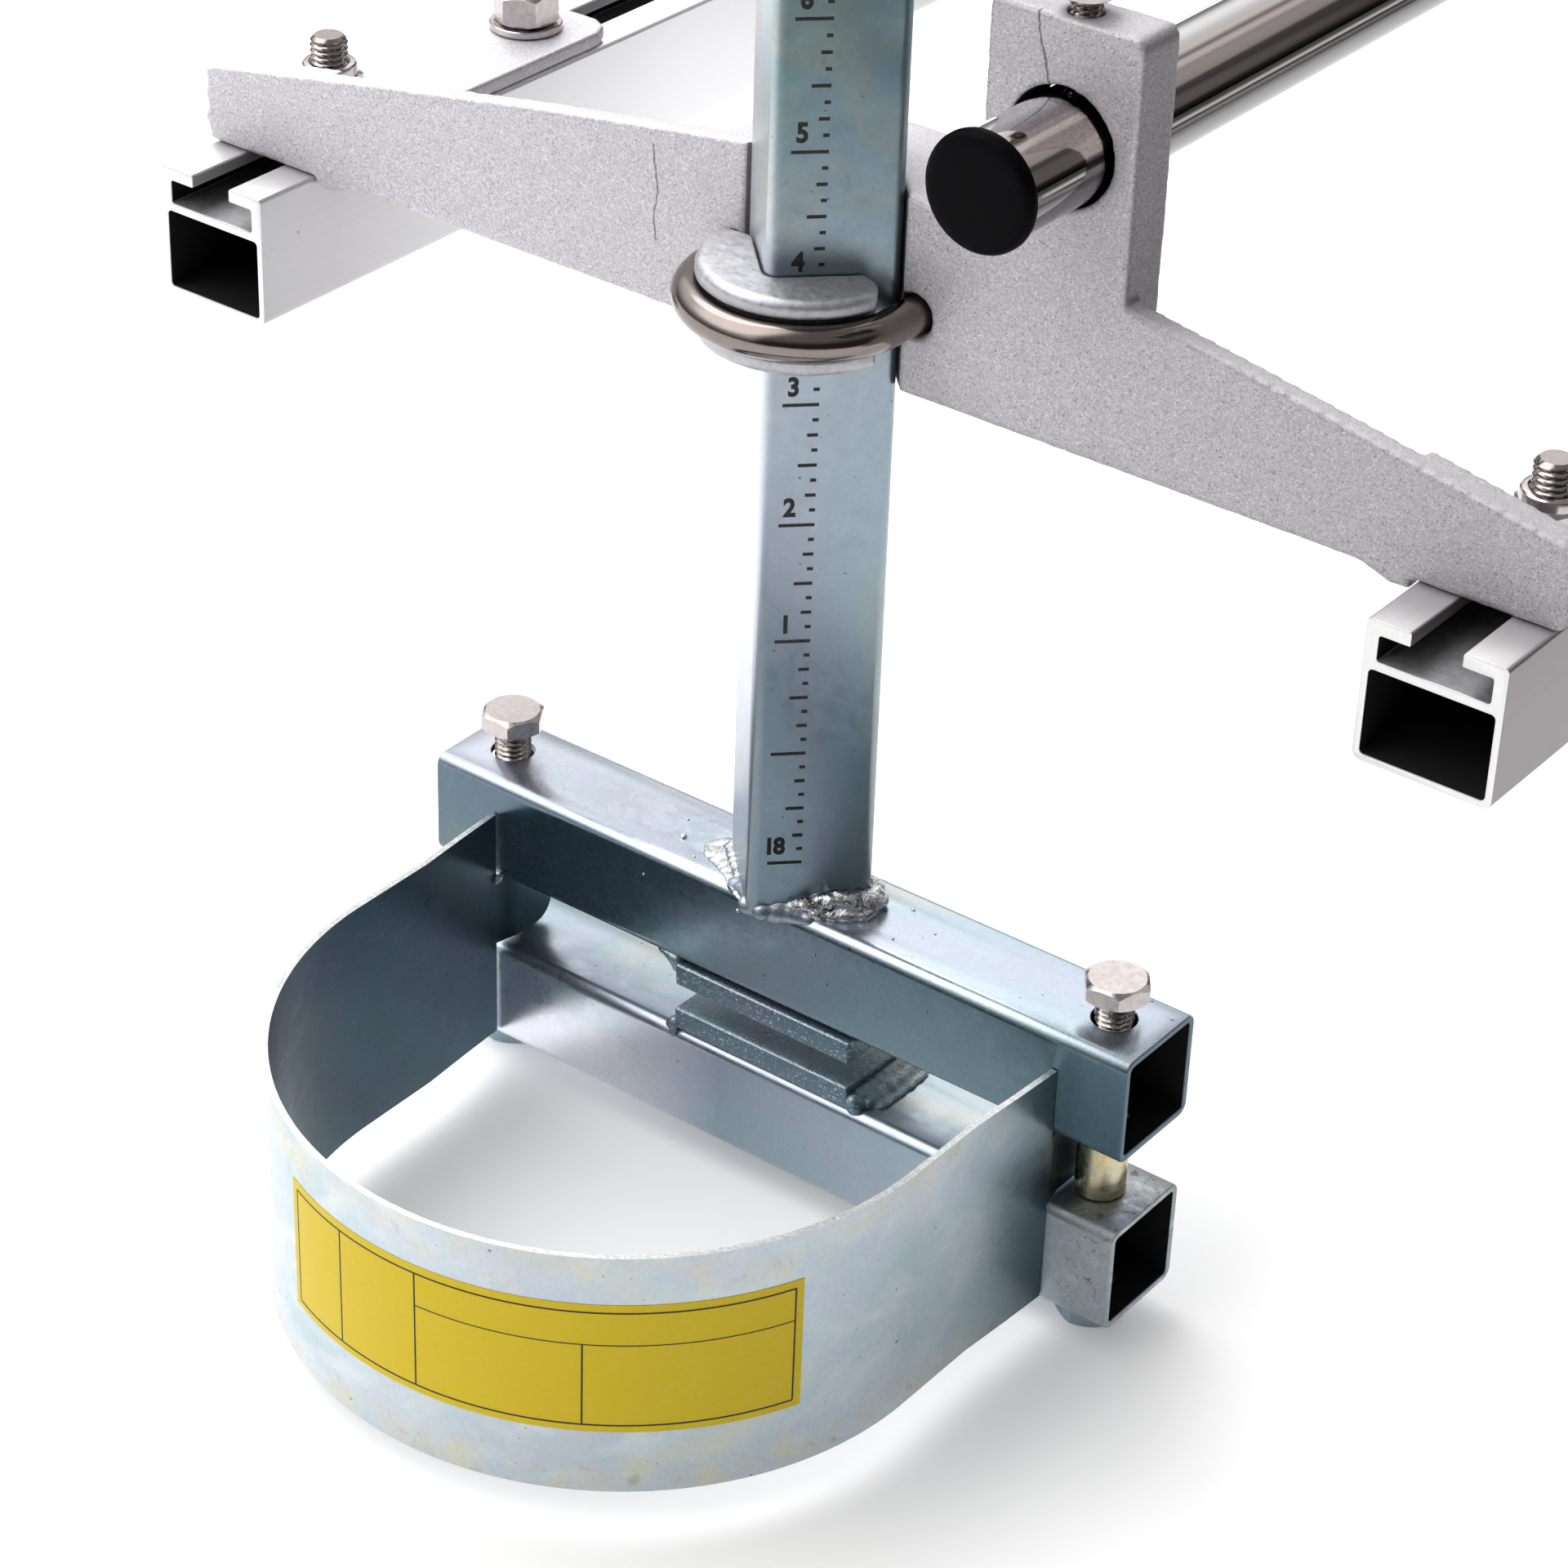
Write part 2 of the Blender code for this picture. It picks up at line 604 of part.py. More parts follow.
def u_bolt_mesh():
    """A bent rod: its bow lies round the saddle, and its legs thicken to the thread behind the groove."""
    points = []
    radii = []
    legs = [U_END_Y, U_END_Y - 0.8 * MM, 8.6 * MM, 7.8 * MM, 3 * MM]
    sizes = [M8 - 0.8 * MM, M8, M8, U_ROD, U_ROD]
    for y, size in zip(legs, sizes):
        points.append((U_RADIUS, y - CLAMP_CENTRE_Y))
        radii.append(size)
    steps = 18
    for k in range(steps + 1):
        angle = -math.pi * k / steps
        points.append((U_RADIUS * math.cos(angle), U_RADIUS * math.sin(angle)))
        radii.append(U_ROD)
    for y, size in zip(reversed(legs), reversed(sizes)):
        points.append((-U_RADIUS, y - CLAMP_CENTRE_Y))
        radii.append(size)
    return rod(points, radii, 10)


def clamp_tube_mesh():
    tube = shifted(square_tube(TUBE, TUBE_WALL, TUBE_CORNER, TUBE_LENGTH, "X"), -TUBE_LENGTH / 2)
    holes = [shifted(cylinder(M8_HOLE, -TUBE, TUBE, 16), x) for x in (-BOLT_X, BOLT_X)]
    return cut(tube, *holes)


def pad_mesh(up):
    """A jaw plate and the weld beads that hold its ends. up is +1 when its tube is above it."""
    half = PAD_THICK / 2
    plate = prism(rounded(rectangle(TUBE, PAD_THICK), 0.5 * MM, 2), -PAD_LENGTH / 2, PAD_LENGTH / 2, "X")
    reach = PAD_HANG - GAP if up > 0 else 0
    bead_r = 2.1 * MM
    bead = turned_solid(bead_profile(TUBE * 0.4, bead_r), 8)
    bead = turned(bead, -90, "X")
    height = up * (half + reach - bead_r)
    beads = [shifted(bead, x, 0, height) for x in (-PAD_LENGTH / 2, PAD_LENGTH / 2)]
    return joined(plate, *beads)


def bead_profile(half_length, radius):
    """A weld bead as a lumpy bar with blunt ends, turned round its own length."""
    profile = [(0, -half_length)]
    count = 6
    for k in range(count + 1):
        z = -half_length + 2 * half_length * k / count
        swell = 1 - 0.1 * (k % 2) - (0.35 if k in (0, count) else 0)
        profile.append((radius * swell, z))
    return profile + [(0, half_length)]


def guard_line(inset):
    """Half of the guard's line from the nose's middle to the end of its tongue, inset from its outer side."""
    radius = GUARD_RADIUS - inset
    steps = 16
    angles = [math.pi / 2 * k / steps for k in range(steps + 1)]
    bow = [(radius * math.sin(a), GUARD_CENTRE_Y - radius * math.cos(a)) for a in angles]
    face = -TUBE / 2 - GAP
    leg = [(LEG_X - inset, face), (TONGUE_X - inset, TONGUE_START_Y), (TONGUE_X - inset, TONGUE_END_Y)]
    return bow + leg


def guard_mesh():
    """A strip bent to a U round the bar's nose, notched at its ends over the two tubes."""
    outer = guard_line(0)
    inner = guard_line(GUARD_SHEET)
    loop = outer + inner[::-1] + [(-x, y) for x, y in inner[1:]] + [(-x, y) for x, y in outer[:0:-1]]
    strip = prism(loop, -GUARD_DROP - GUARD_HEIGHT, -GUARD_DROP)
    away = 120 * MM
    face = -TUBE / 2 - GAP
    over = [(face, -TUBE - GAP), (away, -TUBE - GAP), (away, away), (face, away)]
    sole = -TUBE - TUBE_SPACE + 2 * GAP
    rise = sole + TONGUE_CORNER
    middle = TONGUE_END_Y - TONGUE_CORNER
    bow = [(middle + TONGUE_CORNER * math.sin(a), rise - TONGUE_CORNER * math.cos(a)) for a in quarter(5)]
    under = [(face, -away), (face, sole)] + bow + [(away, rise), (away, -away)]
    return cut(strip, prism(over, -away, away, "X"), prism(under, -away, away, "X"))


def post_mesh():
    """The square post, with the uneven weld bead round its foot that wraps over the tube's edges."""
    side = POST
    path = rounded(rectangle(side + 1.6 * MM, side + 1.6 * MM), 3.6 * MM, 3)
    loop = []
    for i, (x, y) in enumerate(path):
        after = path[(i + 1) % len(path)]
        pieces = 5 if math.dist((x, y), after) > 8 * MM else 1
        for k in range(pieces):
            share = k / pieces
            loop.append((x + (after[0] - x) * share, y + (after[1] - y) * share))
    count = len(loop)
    sides = 6
    bm = bmesh.new()
    rings = []
    for i, (x, y) in enumerate(loop):
        turn = 2 * math.pi * i / count
        size = (3.3 + 0.5 * math.sin(3 * turn + 0.6) + 0.35 * math.sin(11 * turn + 1.1)) * MM
        rise = 0.3 * MM * math.sin(7 * turn)
        reach = math.hypot(x, y)
        ring_points = []
        for k in range(sides):
            angle = 2 * math.pi * (k + 0.5) / sides
            out = 1 + size * math.cos(angle) / reach
            height = 0.4 * MM + rise + size * math.sin(angle) * 0.85
            ring_points.append(bm.verts.new((x * out, y * out, height)))
        rings.append(ring_points)
    for i in range(count):
        one = rings[i]
        other = rings[(i + 1) % count]
        for k in range(sides):
            j = (k + 1) % sides
            bm.faces.new((one[k], one[j], other[j], other[k]))
    bead = finished(bm)
    away = 60 * MM
    inside = prism(rectangle(POST - POST_WALL, POST - POST_WALL), -away, away)
    wide = TUBE + 2 * GAP
    tube = prism(rounded(rectangle(wide, wide, 0, -TUBE / 2), TUBE_CORNER + GAP), -away, away, "X")
    post = shifted(square_tube(POST, POST_WALL, POST_CORNER, POST_LENGTH - GAP, "Z"), 0, 0, GAP)
    bead = cut(bead, inside, turned(tube, -45, "Z"))
    return turned(joined(post, bead), 45, "Z")


def cap_mesh():
    """A domed plug. Its head lies on the tube's end, outwards along +Z, and its stem goes into the tube."""
    head = HANDLE_R + CAP_RIM
    stem = HANDLE_R - HANDLE_WALL - GAP
    side = 1.5 * MM
    plug = [(0, -9 * MM), (stem - 0.6 * MM, -9 * MM), (stem, -8 * MM), (stem, GAP)]
    rim = [(head, GAP), (head, side)]
    dome = [(head * math.cos(a), side + (CAP_HEAD - side) * math.sin(a)) for a in quarter(4)[1:-1]]
    return turned_solid(plug + rim + dome + [(0, CAP_HEAD)], 20)


def handle_mesh(length):
    inner = HANDLE_R - HANDLE_WALL
    profile = [(inner, 0), (HANDLE_R - 0.3 * MM, 0), (HANDLE_R, 0.3 * MM)]
    profile += [(HANDLE_R, length - 0.3 * MM), (HANDLE_R - 0.3 * MM, length), (inner, length)]
    return turned(turned_solid(profile, 32), -90, "X")


def bracket(end, y, back, rails):
    """The casting with what is bolted to it, on an empty on the post's axis."""
    origin = empty(end + "_bracket_origin", (0, y, CASTING_Z), rails)
    half_turn = 0 if back > 0 else math.pi
    place(end + "_bracket", casting_mesh(back), "casting", origin)
    centre = (0, back * CLAMP_CENTRE_Y, CLAMP_Z)
    place(end + "_saddle", saddle_mesh(), "stainless", origin, centre, half_turn)
    place(end + "_u_bolt", u_bolt_mesh(), "stainless", origin, centre, half_turn)
    washer = turned(ring(M8 + GAP, M8_WASHER_R, M8_WASHER, HEX_STEPS), -90, "X")
    fixing = turned(nut(M8_FLATS, M8_NUT, M8 + GAP), -90, "X")
    for side, x in (("left", -U_RADIUS), ("right", U_RADIUS)):
        spot = (x, back * (BLOCK_BACK + GAP), CLAMP_Z)
        place(end + "_u_bolt_washer_" + side, washer, "stainless", origin, spot, half_turn)
        spot = (x, back * (BLOCK_BACK + M8_WASHER + 2 * GAP), CLAMP_Z)
        place(end + "_u_bolt_nut_" + side, fixing, "stainless", origin, spot, half_turn)
    under_lip = -SLOT_LIP - 2 * GAP
    bolt = turned(hex_bolt(M8, M8_FLATS, RAIL_BOLT_HEAD, RAIL_BOLT_RISE - GAP - under_lip), 180, "X")
    locking = lock_nut(M8_FLATS, M8_LOCKNUT, M8 + GAP, M8_WASHER_R, M8_WASHER)
    spots = [(side * RAIL_CENTRES / 2, back * along) for side in (-1, 1) for along in FOOT_BOLTS_Y]
    for number, (x, y) in enumerate(spots, 1):
        place(end + "_rail_bolt_" + str(number), bolt, "stainless", origin, (x, y, under_lip))
        place(end + "_rail_nut_" + str(number), locking, "stainless", origin, (x, y, FOOT_THICK + GAP))
    raise_by = 2.8 * MM
    length = TOWER_TOP + raise_by - (BORE_Z - HANDLE_SINK + HANDLE_R + GAP)
    top = (HANDLE_X, back * (FACE_Y + TOWER_BACK) / 2, TOWER_TOP + raise_by)
    place(end + "_handle_bolt", hex_bolt(M6, M6_FLATS, M6_HEAD, length), "stainless", origin, top)
    return origin


def clamp(end, bracket_origin, back):
    """Post with the upper tube welded across its foot, and the lower tube that its two bolts draw up."""
    origin = empty(end + "_post_origin", (0, 0, CLAMP_TOP_Z - CASTING_Z), bracket_origin)
    turn = 0 if back > 0 else math.pi
    place(end + "_post", post_mesh(), "zinc", origin, turn=turn)
    tube = clamp_tube_mesh()
    place(end + "_upper_tube", tube, "zinc", origin, (0, 0, -TUBE / 2))
    place(end + "_upper_pad", pad_mesh(1), "zinc", origin, (0, 0, -TUBE - PAD_HANG - PAD_THICK / 2))
    if end == "near":
        place("nose_guard", guard_mesh(), "zinc", origin)
    jaw = empty(end + "_jaw_origin", (0, 0, -TUBE - TUBE_SPACE), origin)
    place(end + "_lower_tube", tube, "zinc", jaw, (0, 0, -TUBE / 2))
    place(end + "_lower_pad", pad_mesh(-1), "zinc", jaw, (0, 0, GAP + PAD_THICK / 2))
    spacer = ring(SPACER_BORE, SPACER_R, TUBE_SPACE - 2 * GAP)
    welded = nut(M8_FLATS, M8_NUT, M8 + GAP)
    bolt = hex_bolt(M8, M8_FLATS, M8_HEAD, BOLT_SHANK)
    for side, x, angle in (("left", -BOLT_X, math.radians(31)), ("right", BOLT_X, math.radians(36.4))):
        place(end + "_spacer_" + side, spacer, "yellow_zinc", jaw, (x, 0, GAP))
        place(end + "_clamp_nut_" + side, welded, "zinc", jaw, (x, 0, -TUBE - GAP - M8_NUT))
        top = TUBE + TUBE_SPACE + BOLT_RAISE[side]
        place(end + "_clamp_bolt_" + side, bolt, "stainless", jaw, (x, 0, top), angle)


def build():
    clear_scene()
    rails = empty("rails_origin", (0, 0, 0))
    rail = rail_mesh()
    for side, x in (("left", -RAIL_CENTRES / 2), ("right", RAIL_CENTRES / 2)):
        place("rail_" + side, rail, "extrusion", rails, (x, RAIL_MID_Y, RAIL_TOP_Z))
    for end, y, back in (("near", NEAR_Y, 1), ("far", FAR_Y, -1)):
        clamp(end, bracket(end, y, back, rails), back)
    axis_z = CASTING_Z + BORE_Z - HANDLE_SINK
    start = NEAR_Y - HANDLE_REACH
    length = POST_SPACING + 2 * HANDLE_REACH
    handle = empty("handle_origin", (HANDLE_X, start, axis_z), rails)
    place("handle_tube", handle_mesh(length), "chrome", handle)
    cap = cap_mesh()
    place("handle_cap_near", turned(cap, 90, "X"), "black_plastic", handle)
    place("handle_cap_far", turned(cap, -90, "X"), "black_plastic", handle, (0, length, 0))


build()
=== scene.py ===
import math

import bmesh
import bpy
from mathutils import Matrix, Vector, noise


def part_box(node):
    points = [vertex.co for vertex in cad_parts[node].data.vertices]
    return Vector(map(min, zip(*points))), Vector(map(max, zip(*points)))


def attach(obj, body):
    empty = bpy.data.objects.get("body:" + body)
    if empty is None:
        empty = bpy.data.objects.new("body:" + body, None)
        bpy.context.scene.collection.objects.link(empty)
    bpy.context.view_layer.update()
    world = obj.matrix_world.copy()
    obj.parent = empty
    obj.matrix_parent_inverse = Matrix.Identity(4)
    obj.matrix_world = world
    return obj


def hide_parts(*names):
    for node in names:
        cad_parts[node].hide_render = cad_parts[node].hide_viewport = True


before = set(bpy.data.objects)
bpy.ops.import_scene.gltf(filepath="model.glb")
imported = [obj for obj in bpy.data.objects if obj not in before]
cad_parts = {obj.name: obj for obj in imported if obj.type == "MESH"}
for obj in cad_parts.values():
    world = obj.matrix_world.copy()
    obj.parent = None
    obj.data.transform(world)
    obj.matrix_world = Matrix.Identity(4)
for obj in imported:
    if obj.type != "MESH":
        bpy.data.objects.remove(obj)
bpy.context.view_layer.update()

MM = 0.001
TAU = 2 * math.pi

# Places: each end is drawn in millimetres from its post's foot, with +Y into the frame


def end_matrix(end):
    low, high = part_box(end + "_upper_tube")
    side = 1 if end == "near" else -1
    return Matrix.Translation((0, (low.y + high.y) / 2, high.z)) @ Matrix.Diagonal((MM, side * MM, MM, 1))


ENDS = {"near": end_matrix("near"), "far": end_matrix("far")}
TUBE, TUBE_WALL, TUBE_CORNER, TUBE_HALF, SPACE = 24.0, 1.6, 2.6, 87.5, 17.2
POST, POST_CORNER, POST_WALL, POST_TOP = 25.4, 2.5, 2.0, 345.0
POST_EDGE = POST / 2 * math.sqrt(2)
PAD_HALF = 22.25
BOLT_X = 76.5
FACE_Y = -0.6
CASTING_Z = 116.4
CLAMP_Y, CLAMP_Z = -6.5, CASTING_Z + 16.3
ROD_R = 20.9
HANDLE_X, BORE_Z, BORE_R = 50.3, CASTING_Z + 58.1, 11.2
TOWER_TOP, TOWER_BACK = CASTING_Z + 82.1, 10.9
RAIL_X, RAIL_LENGTH = 142.85, 610
FOOT_BOLTS_Y = (20, 82.5)
GUARD_Y, GUARD_R, GUARD_SHEET = -56.0, 70.4, 1.3
M8, M8_PITCH, M8_FLATS, M8_NUT, M8_LOCKNUT, M8_BORE = 4, 1.25, 12.8, 6.5, 9.8, 3.9
FOOT_Z = ENDS["near"].translation.z / MM
NEAR_FACE_Y = ENDS["near"].translation.y / MM + FACE_Y


def added(name, data):
    obj = bpy.data.objects.new(name, data)
    bpy.context.scene.collection.objects.link(obj)
    return obj


# Camera, fitted to the photograph

AZIMUTH, PITCH, ROLL = (math.radians(a) for a in (36.374, 32.058, -2.046))
LENS = 97.476
POSITION = Vector((423.61, -581.84, 472.98))


def make_camera():
    ahead = math.cos(PITCH)
    forward = Vector((-math.sin(AZIMUTH) * ahead, math.cos(AZIMUTH) * ahead, -math.sin(PITCH)))
    level = Vector((math.cos(AZIMUTH), math.sin(AZIMUTH), 0))
    down = forward.cross(level)
    right = math.cos(ROLL) * level + math.sin(ROLL) * down
    below = -math.sin(ROLL) * level + math.cos(ROLL) * down
    data = bpy.data.cameras.new("camera")
    data.lens = LENS
    data.sensor_width = 36
    data.clip_start = 0.01
    camera = added("camera", data)
    turn = Matrix((right, -below, -forward)).transposed()
    camera.matrix_world = Matrix.Translation(ENDS["near"] @ POSITION) @ turn.to_4x4()
    bpy.context.scene.camera = camera


make_camera()

# Shapes, in millimetres


def skin(rings, closed=False, capped=False):
    """Joins rings of points into a closed shape. A one-point ring is a tip, and capped closes both ends."""
    bm = bmesh.new()
    loops = [[bm.verts.new(p) for p in ring] for ring in rings]
    count = max(len(loop) for loop in loops)
    for one, other in list(zip(loops, loops[1:])) + ([(loops[-1], loops[0])] if closed else []):
        for i in range(count):
            j = (i + 1) % count
            if len(one) == 1:
                bm.faces.new((one[0], other[j], other[i]))
            elif len(other) == 1:
                bm.faces.new((one[i], one[j], other[0]))
            else:
                bm.faces.new((one[i], one[j], other[j], other[i]))
    if capped:
        bm.faces.new(loops[0])
        bm.faces.new(loops[-1])
    bmesh.ops.recalc_face_normals(bm, faces=bm.faces)
    mesh = bpy.data.meshes.new("shape")
    bm.to_mesh(mesh)
    bm.free()
    return mesh


def circle(radius, z, steps):
    if radius < 1e-6:
        return [(0, 0, z)]
    return [(radius * math.cos(TAU * i / steps), radius * math.sin(TAU * i / steps), z) for i in range(steps)]


def lathe(profile, steps=48):
    return skin([circle(r, z, steps) for r, z in profile], profile[0][0] > 1e-6)


def cylinder(radius, low, high, steps=48):
    return lathe([(0, low), (radius, low), (radius, high), (0, high)], steps)


def moved(mesh, x=0.0, y=0.0, z=0.0):
    mesh = mesh.copy()
    mesh.transform(Matrix.Translation((x, y, z)))
    return mesh


def turned(mesh, degrees, axis):
    mesh = mesh.copy()
    mesh.transform(Matrix.Rotation(math.radians(degrees), 4, axis))
    return mesh


def together(*meshes):
    bm = bmesh.new()
    for mesh in meshes:
        bm.from_mesh(mesh)
    out = bpy.data.meshes.new("shape")
    bm.to_mesh(out)
    bm.free()
    return out


def rounded(points, radii, steps=6):
    """The outline through points, with each corner rounded by its radius, or by one radius for all."""
    if isinstance(radii, (int, float)):
        radii = [radii] * len(points)
    outline = []
    for i, (x, y) in enumerate(points):
        radius = radii[i]
        if not radius:
            outline.append((x, y))
            continue
        before, after = points[i - 1], points[(i + 1) % len(points)]
        to_before = math.atan2(before[1] - y, before[0] - x)
        to_after = math.atan2(after[1] - y, after[0] - x)
        half = ((to_after - to_before + math.pi) % TAU - math.pi) / 2
        centre = radius / math.sin(abs(half))
        cx, cy = x + centre * math.cos(to_before + half), y + centre * math.sin(to_before + half)
        reach = radius / math.tan(abs(half))
        first = math.atan2(y + reach * math.sin(to_before) - cy, x + reach * math.cos(to_before) - cx)
        arc = (math.pi - 2 * abs(half)) * (1 if half > 0 else -1)
        for k in range(steps + 1):
            angle = first - arc * k / steps
            outline.append((cx + radius * math.cos(angle), cy + radius * math.sin(angle)))
    return outline


def rectangle(width, height, x=0.0, y=0.0):
    a, b = width / 2, height / 2
    return [(x - a, y - b), (x + a, y - b), (x + a, y + b), (x - a, y + b)]


def along(axis, a, b, h):
    return {"X": (h, a, b), "Y": (a, h, b), "Z": (a, b, h)}[axis]


def prism(outline, low, high, axis="Z"):
    return skin([[along(axis, a, b, h) for a, b in outline] for h in (low, high)], capped=True)


def square_tube(side, wall, corner, low, high, axis, lip=0.35):
    """A square tube whose sawn ends have a small broken edge."""
    inner = side - 2 * wall
    hole = max(corner - wall, 0.8)
    rings = []
    for width, radius, h in (
        (inner, hole, low + lip * 0.5), (inner + lip, hole + lip / 2, low),
        (side - lip, corner - lip / 2, low), (side, corner, low + lip),
        (side, corner, high - lip), (side - lip, corner - lip / 2, high),
        (inner + lip, hole + lip / 2, high), (inner, hole, high - lip * 0.5),
    ):
        rings.append([along(axis, a, b, h) for a, b in rounded(rectangle(width, width), radius, 8)])
    return skin(rings, True)


def modified(mesh, kind, **settings):
    """Applies a modifier with its settings, a mesh among them as a tool, and returns the new mesh."""
    body = added("body", mesh)
    helpers = [body]
    modifier = body.modifiers.new(kind, kind)
    for key, value in settings.items():
        if isinstance(value, bpy.types.Mesh):
            value = added("tool", value)
            helpers.append(value)
        setattr(modifier, key, value)
    graph = bpy.context.evaluated_depsgraph_get()
    result = bpy.data.meshes.new_from_object(body.evaluated_get(graph))
    for obj in helpers:
        bpy.data.objects.remove(obj)
    return result


def cut(mesh, *tools, operation="DIFFERENCE"):
    for tool in tools:
        mesh = modified(mesh, "BOOLEAN", operation=operation, solver="EXACT", object=tool)
    return mesh


def softened(mesh, width, segments=2, angle=40):
    limit = {"limit_method": "ANGLE", "angle_limit": math.radians(angle)}
    return modified(mesh, "BEVEL", width=width, segments=segments, **limit)


def remeshed(mesh, voxel):
    return modified(mesh, "REMESH", mode="VOXEL", voxel_size=voxel, adaptivity=0.0)


def smoothed(mesh, times):
    return modified(mesh, "SMOOTH", factor=0.5, iterations=times)


def roughened(mesh, *layers):
    """Moves each point along its normal by layers of noise: (size in mm, height in mm)."""
    for vertex, normal in zip(mesh.vertices, [v.normal.copy() for v in mesh.vertices]):
        shift = sum(height * noise.noise(vertex.co / size) for size, height in layers)
        vertex.co += normal * shift
    mesh.update()
    return mesh


HEX_STEPS = 48


def hexagon(flats, z, chamfer=0, seat=0.475, slope=33):
    """Rings of one end of a hexagon, with the turned cone that a bolt head has."""
    bearing = seat * flats
    edge, ring = [], []
    for i in range(HEX_STEPS):
        angle = TAU * i / HEX_STEPS
        radius = flats / 2 / math.cos((angle + math.pi / 6) % (math.pi / 3) - math.pi / 6)
        radius = min(radius, flats / 2 * 1.145)
        drop = chamfer * max(radius - bearing, 0) * math.tan(math.radians(slope))
        edge.append((radius * math.cos(angle), radius * math.sin(angle), z - drop))
        ring.append((bearing * math.cos(angle), bearing * math.sin(angle), z))
    return [edge, ring] if chamfer > 0 else [ring, edge]


def thread_rings(radius, pitch, low, high, steps=HEX_STEPS):
    """Rings of a screw thread from low to high: a ridge that climbs one pitch in each turn."""
    rows = max(int((high - low) / pitch * 6), 2)
    rings = []
    for k in range(rows + 1):
        z = low + (high - low) * k / rows
        ends = min(1.0, 3 * min(z - low, high - z) / pitch + 0.05)
        ring = []
        for i in range(steps):
            phase = (z / pitch - i / steps) % 1.0
            ridge = abs(2 * phase - 1) ** 0.8
            r = radius - 0.6 * pitch * (1 - ridge) * ends - 0.35 * (1 - ends)
            ring.append((r * math.cos(TAU * i / steps), r * math.sin(TAU * i / steps), z))
        rings.append(ring)
    return rings


def hex_bolt(radius, flats, head, length, pitch):
    """Head above z = 0 and a threaded shank below it."""
    tip = [(0, -length), (radius - 1.1, -length), (radius - 0.5, 0.5 - length)]
    rings = [circle(r, z, HEX_STEPS) for r, z in tip]
    rings += thread_rings(radius, pitch, 0.7 - length, -0.9)
    rings += [circle(radius - 0.45, z, HEX_STEPS) for z in (-0.6, 0)]
    return skin(rings + hexagon(flats, 0, -1) + hexagon(flats, head, 1, 0.462) + [[(0, 0, head)]])


def nut(flats, height, bore, shoulder=None):
    """A hexagon nut. A lock nut's hexagon ends at its shoulder, and a round collar goes on from there."""
    rings = [circle(bore, 0.5, HEX_STEPS), circle(bore + 0.5, 0, HEX_STEPS)]
    rings += hexagon(flats, 0, -1) + hexagon(flats, shoulder or height, 1)
    rim = [(bore + 0.5, height), (bore, height - 0.5)]
    if shoulder:
        neck, turn = 0.45 * flats, 0.9
        rim = [(neck + 0.35, shoulder), (neck, shoulder + 0.35)]
        for a in (0, 0.5, 1.0, 1.57):
            rim.append((neck - turn + turn * math.cos(a), height - turn + turn * math.sin(a)))
        rim += [(bore + 0.5, height), (bore + 0.1, height - 0.4)]
    return skin(rings + [circle(r, z, HEX_STEPS) for r, z in rim], True)


def washer(inner, outer, height, e=0.22):
    low = [(inner, e), (inner + e, 0), (outer - e, 0), (outer, e)]
    return lathe(low + [(outer, height - e), (outer - e, height), (inner + e, height), (inner, height - e)])


def sweep(points, radii, sides=24):
    """A round bar along points, with its ends closed."""
    rings = []
    count = len(points)
    points = [Vector(p) for p in points]
    for i, point in enumerate(points):
        heading = (points[min(i + 1, count - 1)] - points[max(i - 1, 0)]).normalized()
        side = heading.cross(Vector((0, 0, 1)))
        side = side.normalized() if side.length > 1e-6 else Vector((1, 0, 0))
        up = side.cross(heading)
        turns = [TAU * k / sides for k in range(sides)]
        rings.append([tuple(point + radii[i] * (math.cos(a) * side + math.sin(a) * up)) for a in turns])
    return skin([[tuple(points[0])]] + rings + [[tuple(points[-1])]])


def ball(x, y, z, radius, flat=1.0):
    rings = [[(x, y, z - radius * flat)]]
    for a in (math.pi * k / 8 for k in range(1, 8)):
        level = z - radius * flat * math.cos(a)
        rings.append([(x + px, y + py, level) for px, py, _ in circle(radius * math.sin(a), 0, 16)])
    return skin(rings + [[(x, y, z + radius * flat)]])


def melt(runs, voxel, smooth, *layers):
    """Weld metal: runs of balls, each a list of (x, y, z, radius, flat), flowed into one lumpy body."""
    balls = []
    for run in runs:
        steps = []
        for one, other in zip(run, run[1:]):
            gap = math.dist(one[:3], other[:3])
            count = max(2, int(gap / (0.45 * min(one[3], other[3]))))
            steps += [tuple(a + (b - a) * k / count for a, b in zip(one, other)) for k in range(count)]
        for n, (x, y, z, radius, flat) in enumerate(steps + [run[-1]]):
            ripple = 1 + 0.07 * math.sin(2.3 * n) + 0.16 * noise.noise(Vector((x, y, z)) / 2.5)
            balls.append(ball(x, y, z, radius * ripple, flat))
    return roughened(smoothed(remeshed(together(*balls), voxel), smooth), *layers)


# Materials

TREE = {}


def node(kind, inputs=None, **settings):
    """Adds a node to the tree in hand, TREE["now"], and links or sets its inputs."""
    made = TREE["now"].nodes.new("ShaderNode" + kind)
    for key, value in settings.items():
        setattr(made, key, value)
    for key, value in (inputs or {}).items():
        if isinstance(value, bpy.types.NodeSocket):
            TREE["now"].links.new(value, made.inputs[key])
        else:
            made.inputs[key].default_value = value
    return made


def start(name, colour, metallic, roughness):
    """A material, its shader and the place in millimetres."""
    made = bpy.data.materials.new(name)
    made.use_nodes = True
    TREE["now"] = made.node_tree
    shader = made.node_tree.nodes["Principled BSDF"]
    shader.inputs["Base Color"].default_value = (*colour, 1)
    shader.inputs["Metallic"].default_value = metallic
    shader.inputs["Roughness"].default_value = roughness
    made.diffuse_color = (*colour, 1)
    place = node("TexCoord").outputs["Object"]
    place = node("VectorMath", {0: place, 1: (1000, 1000, 1000)}, operation="MULTIPLY").outputs[0]
    return made, shader, place


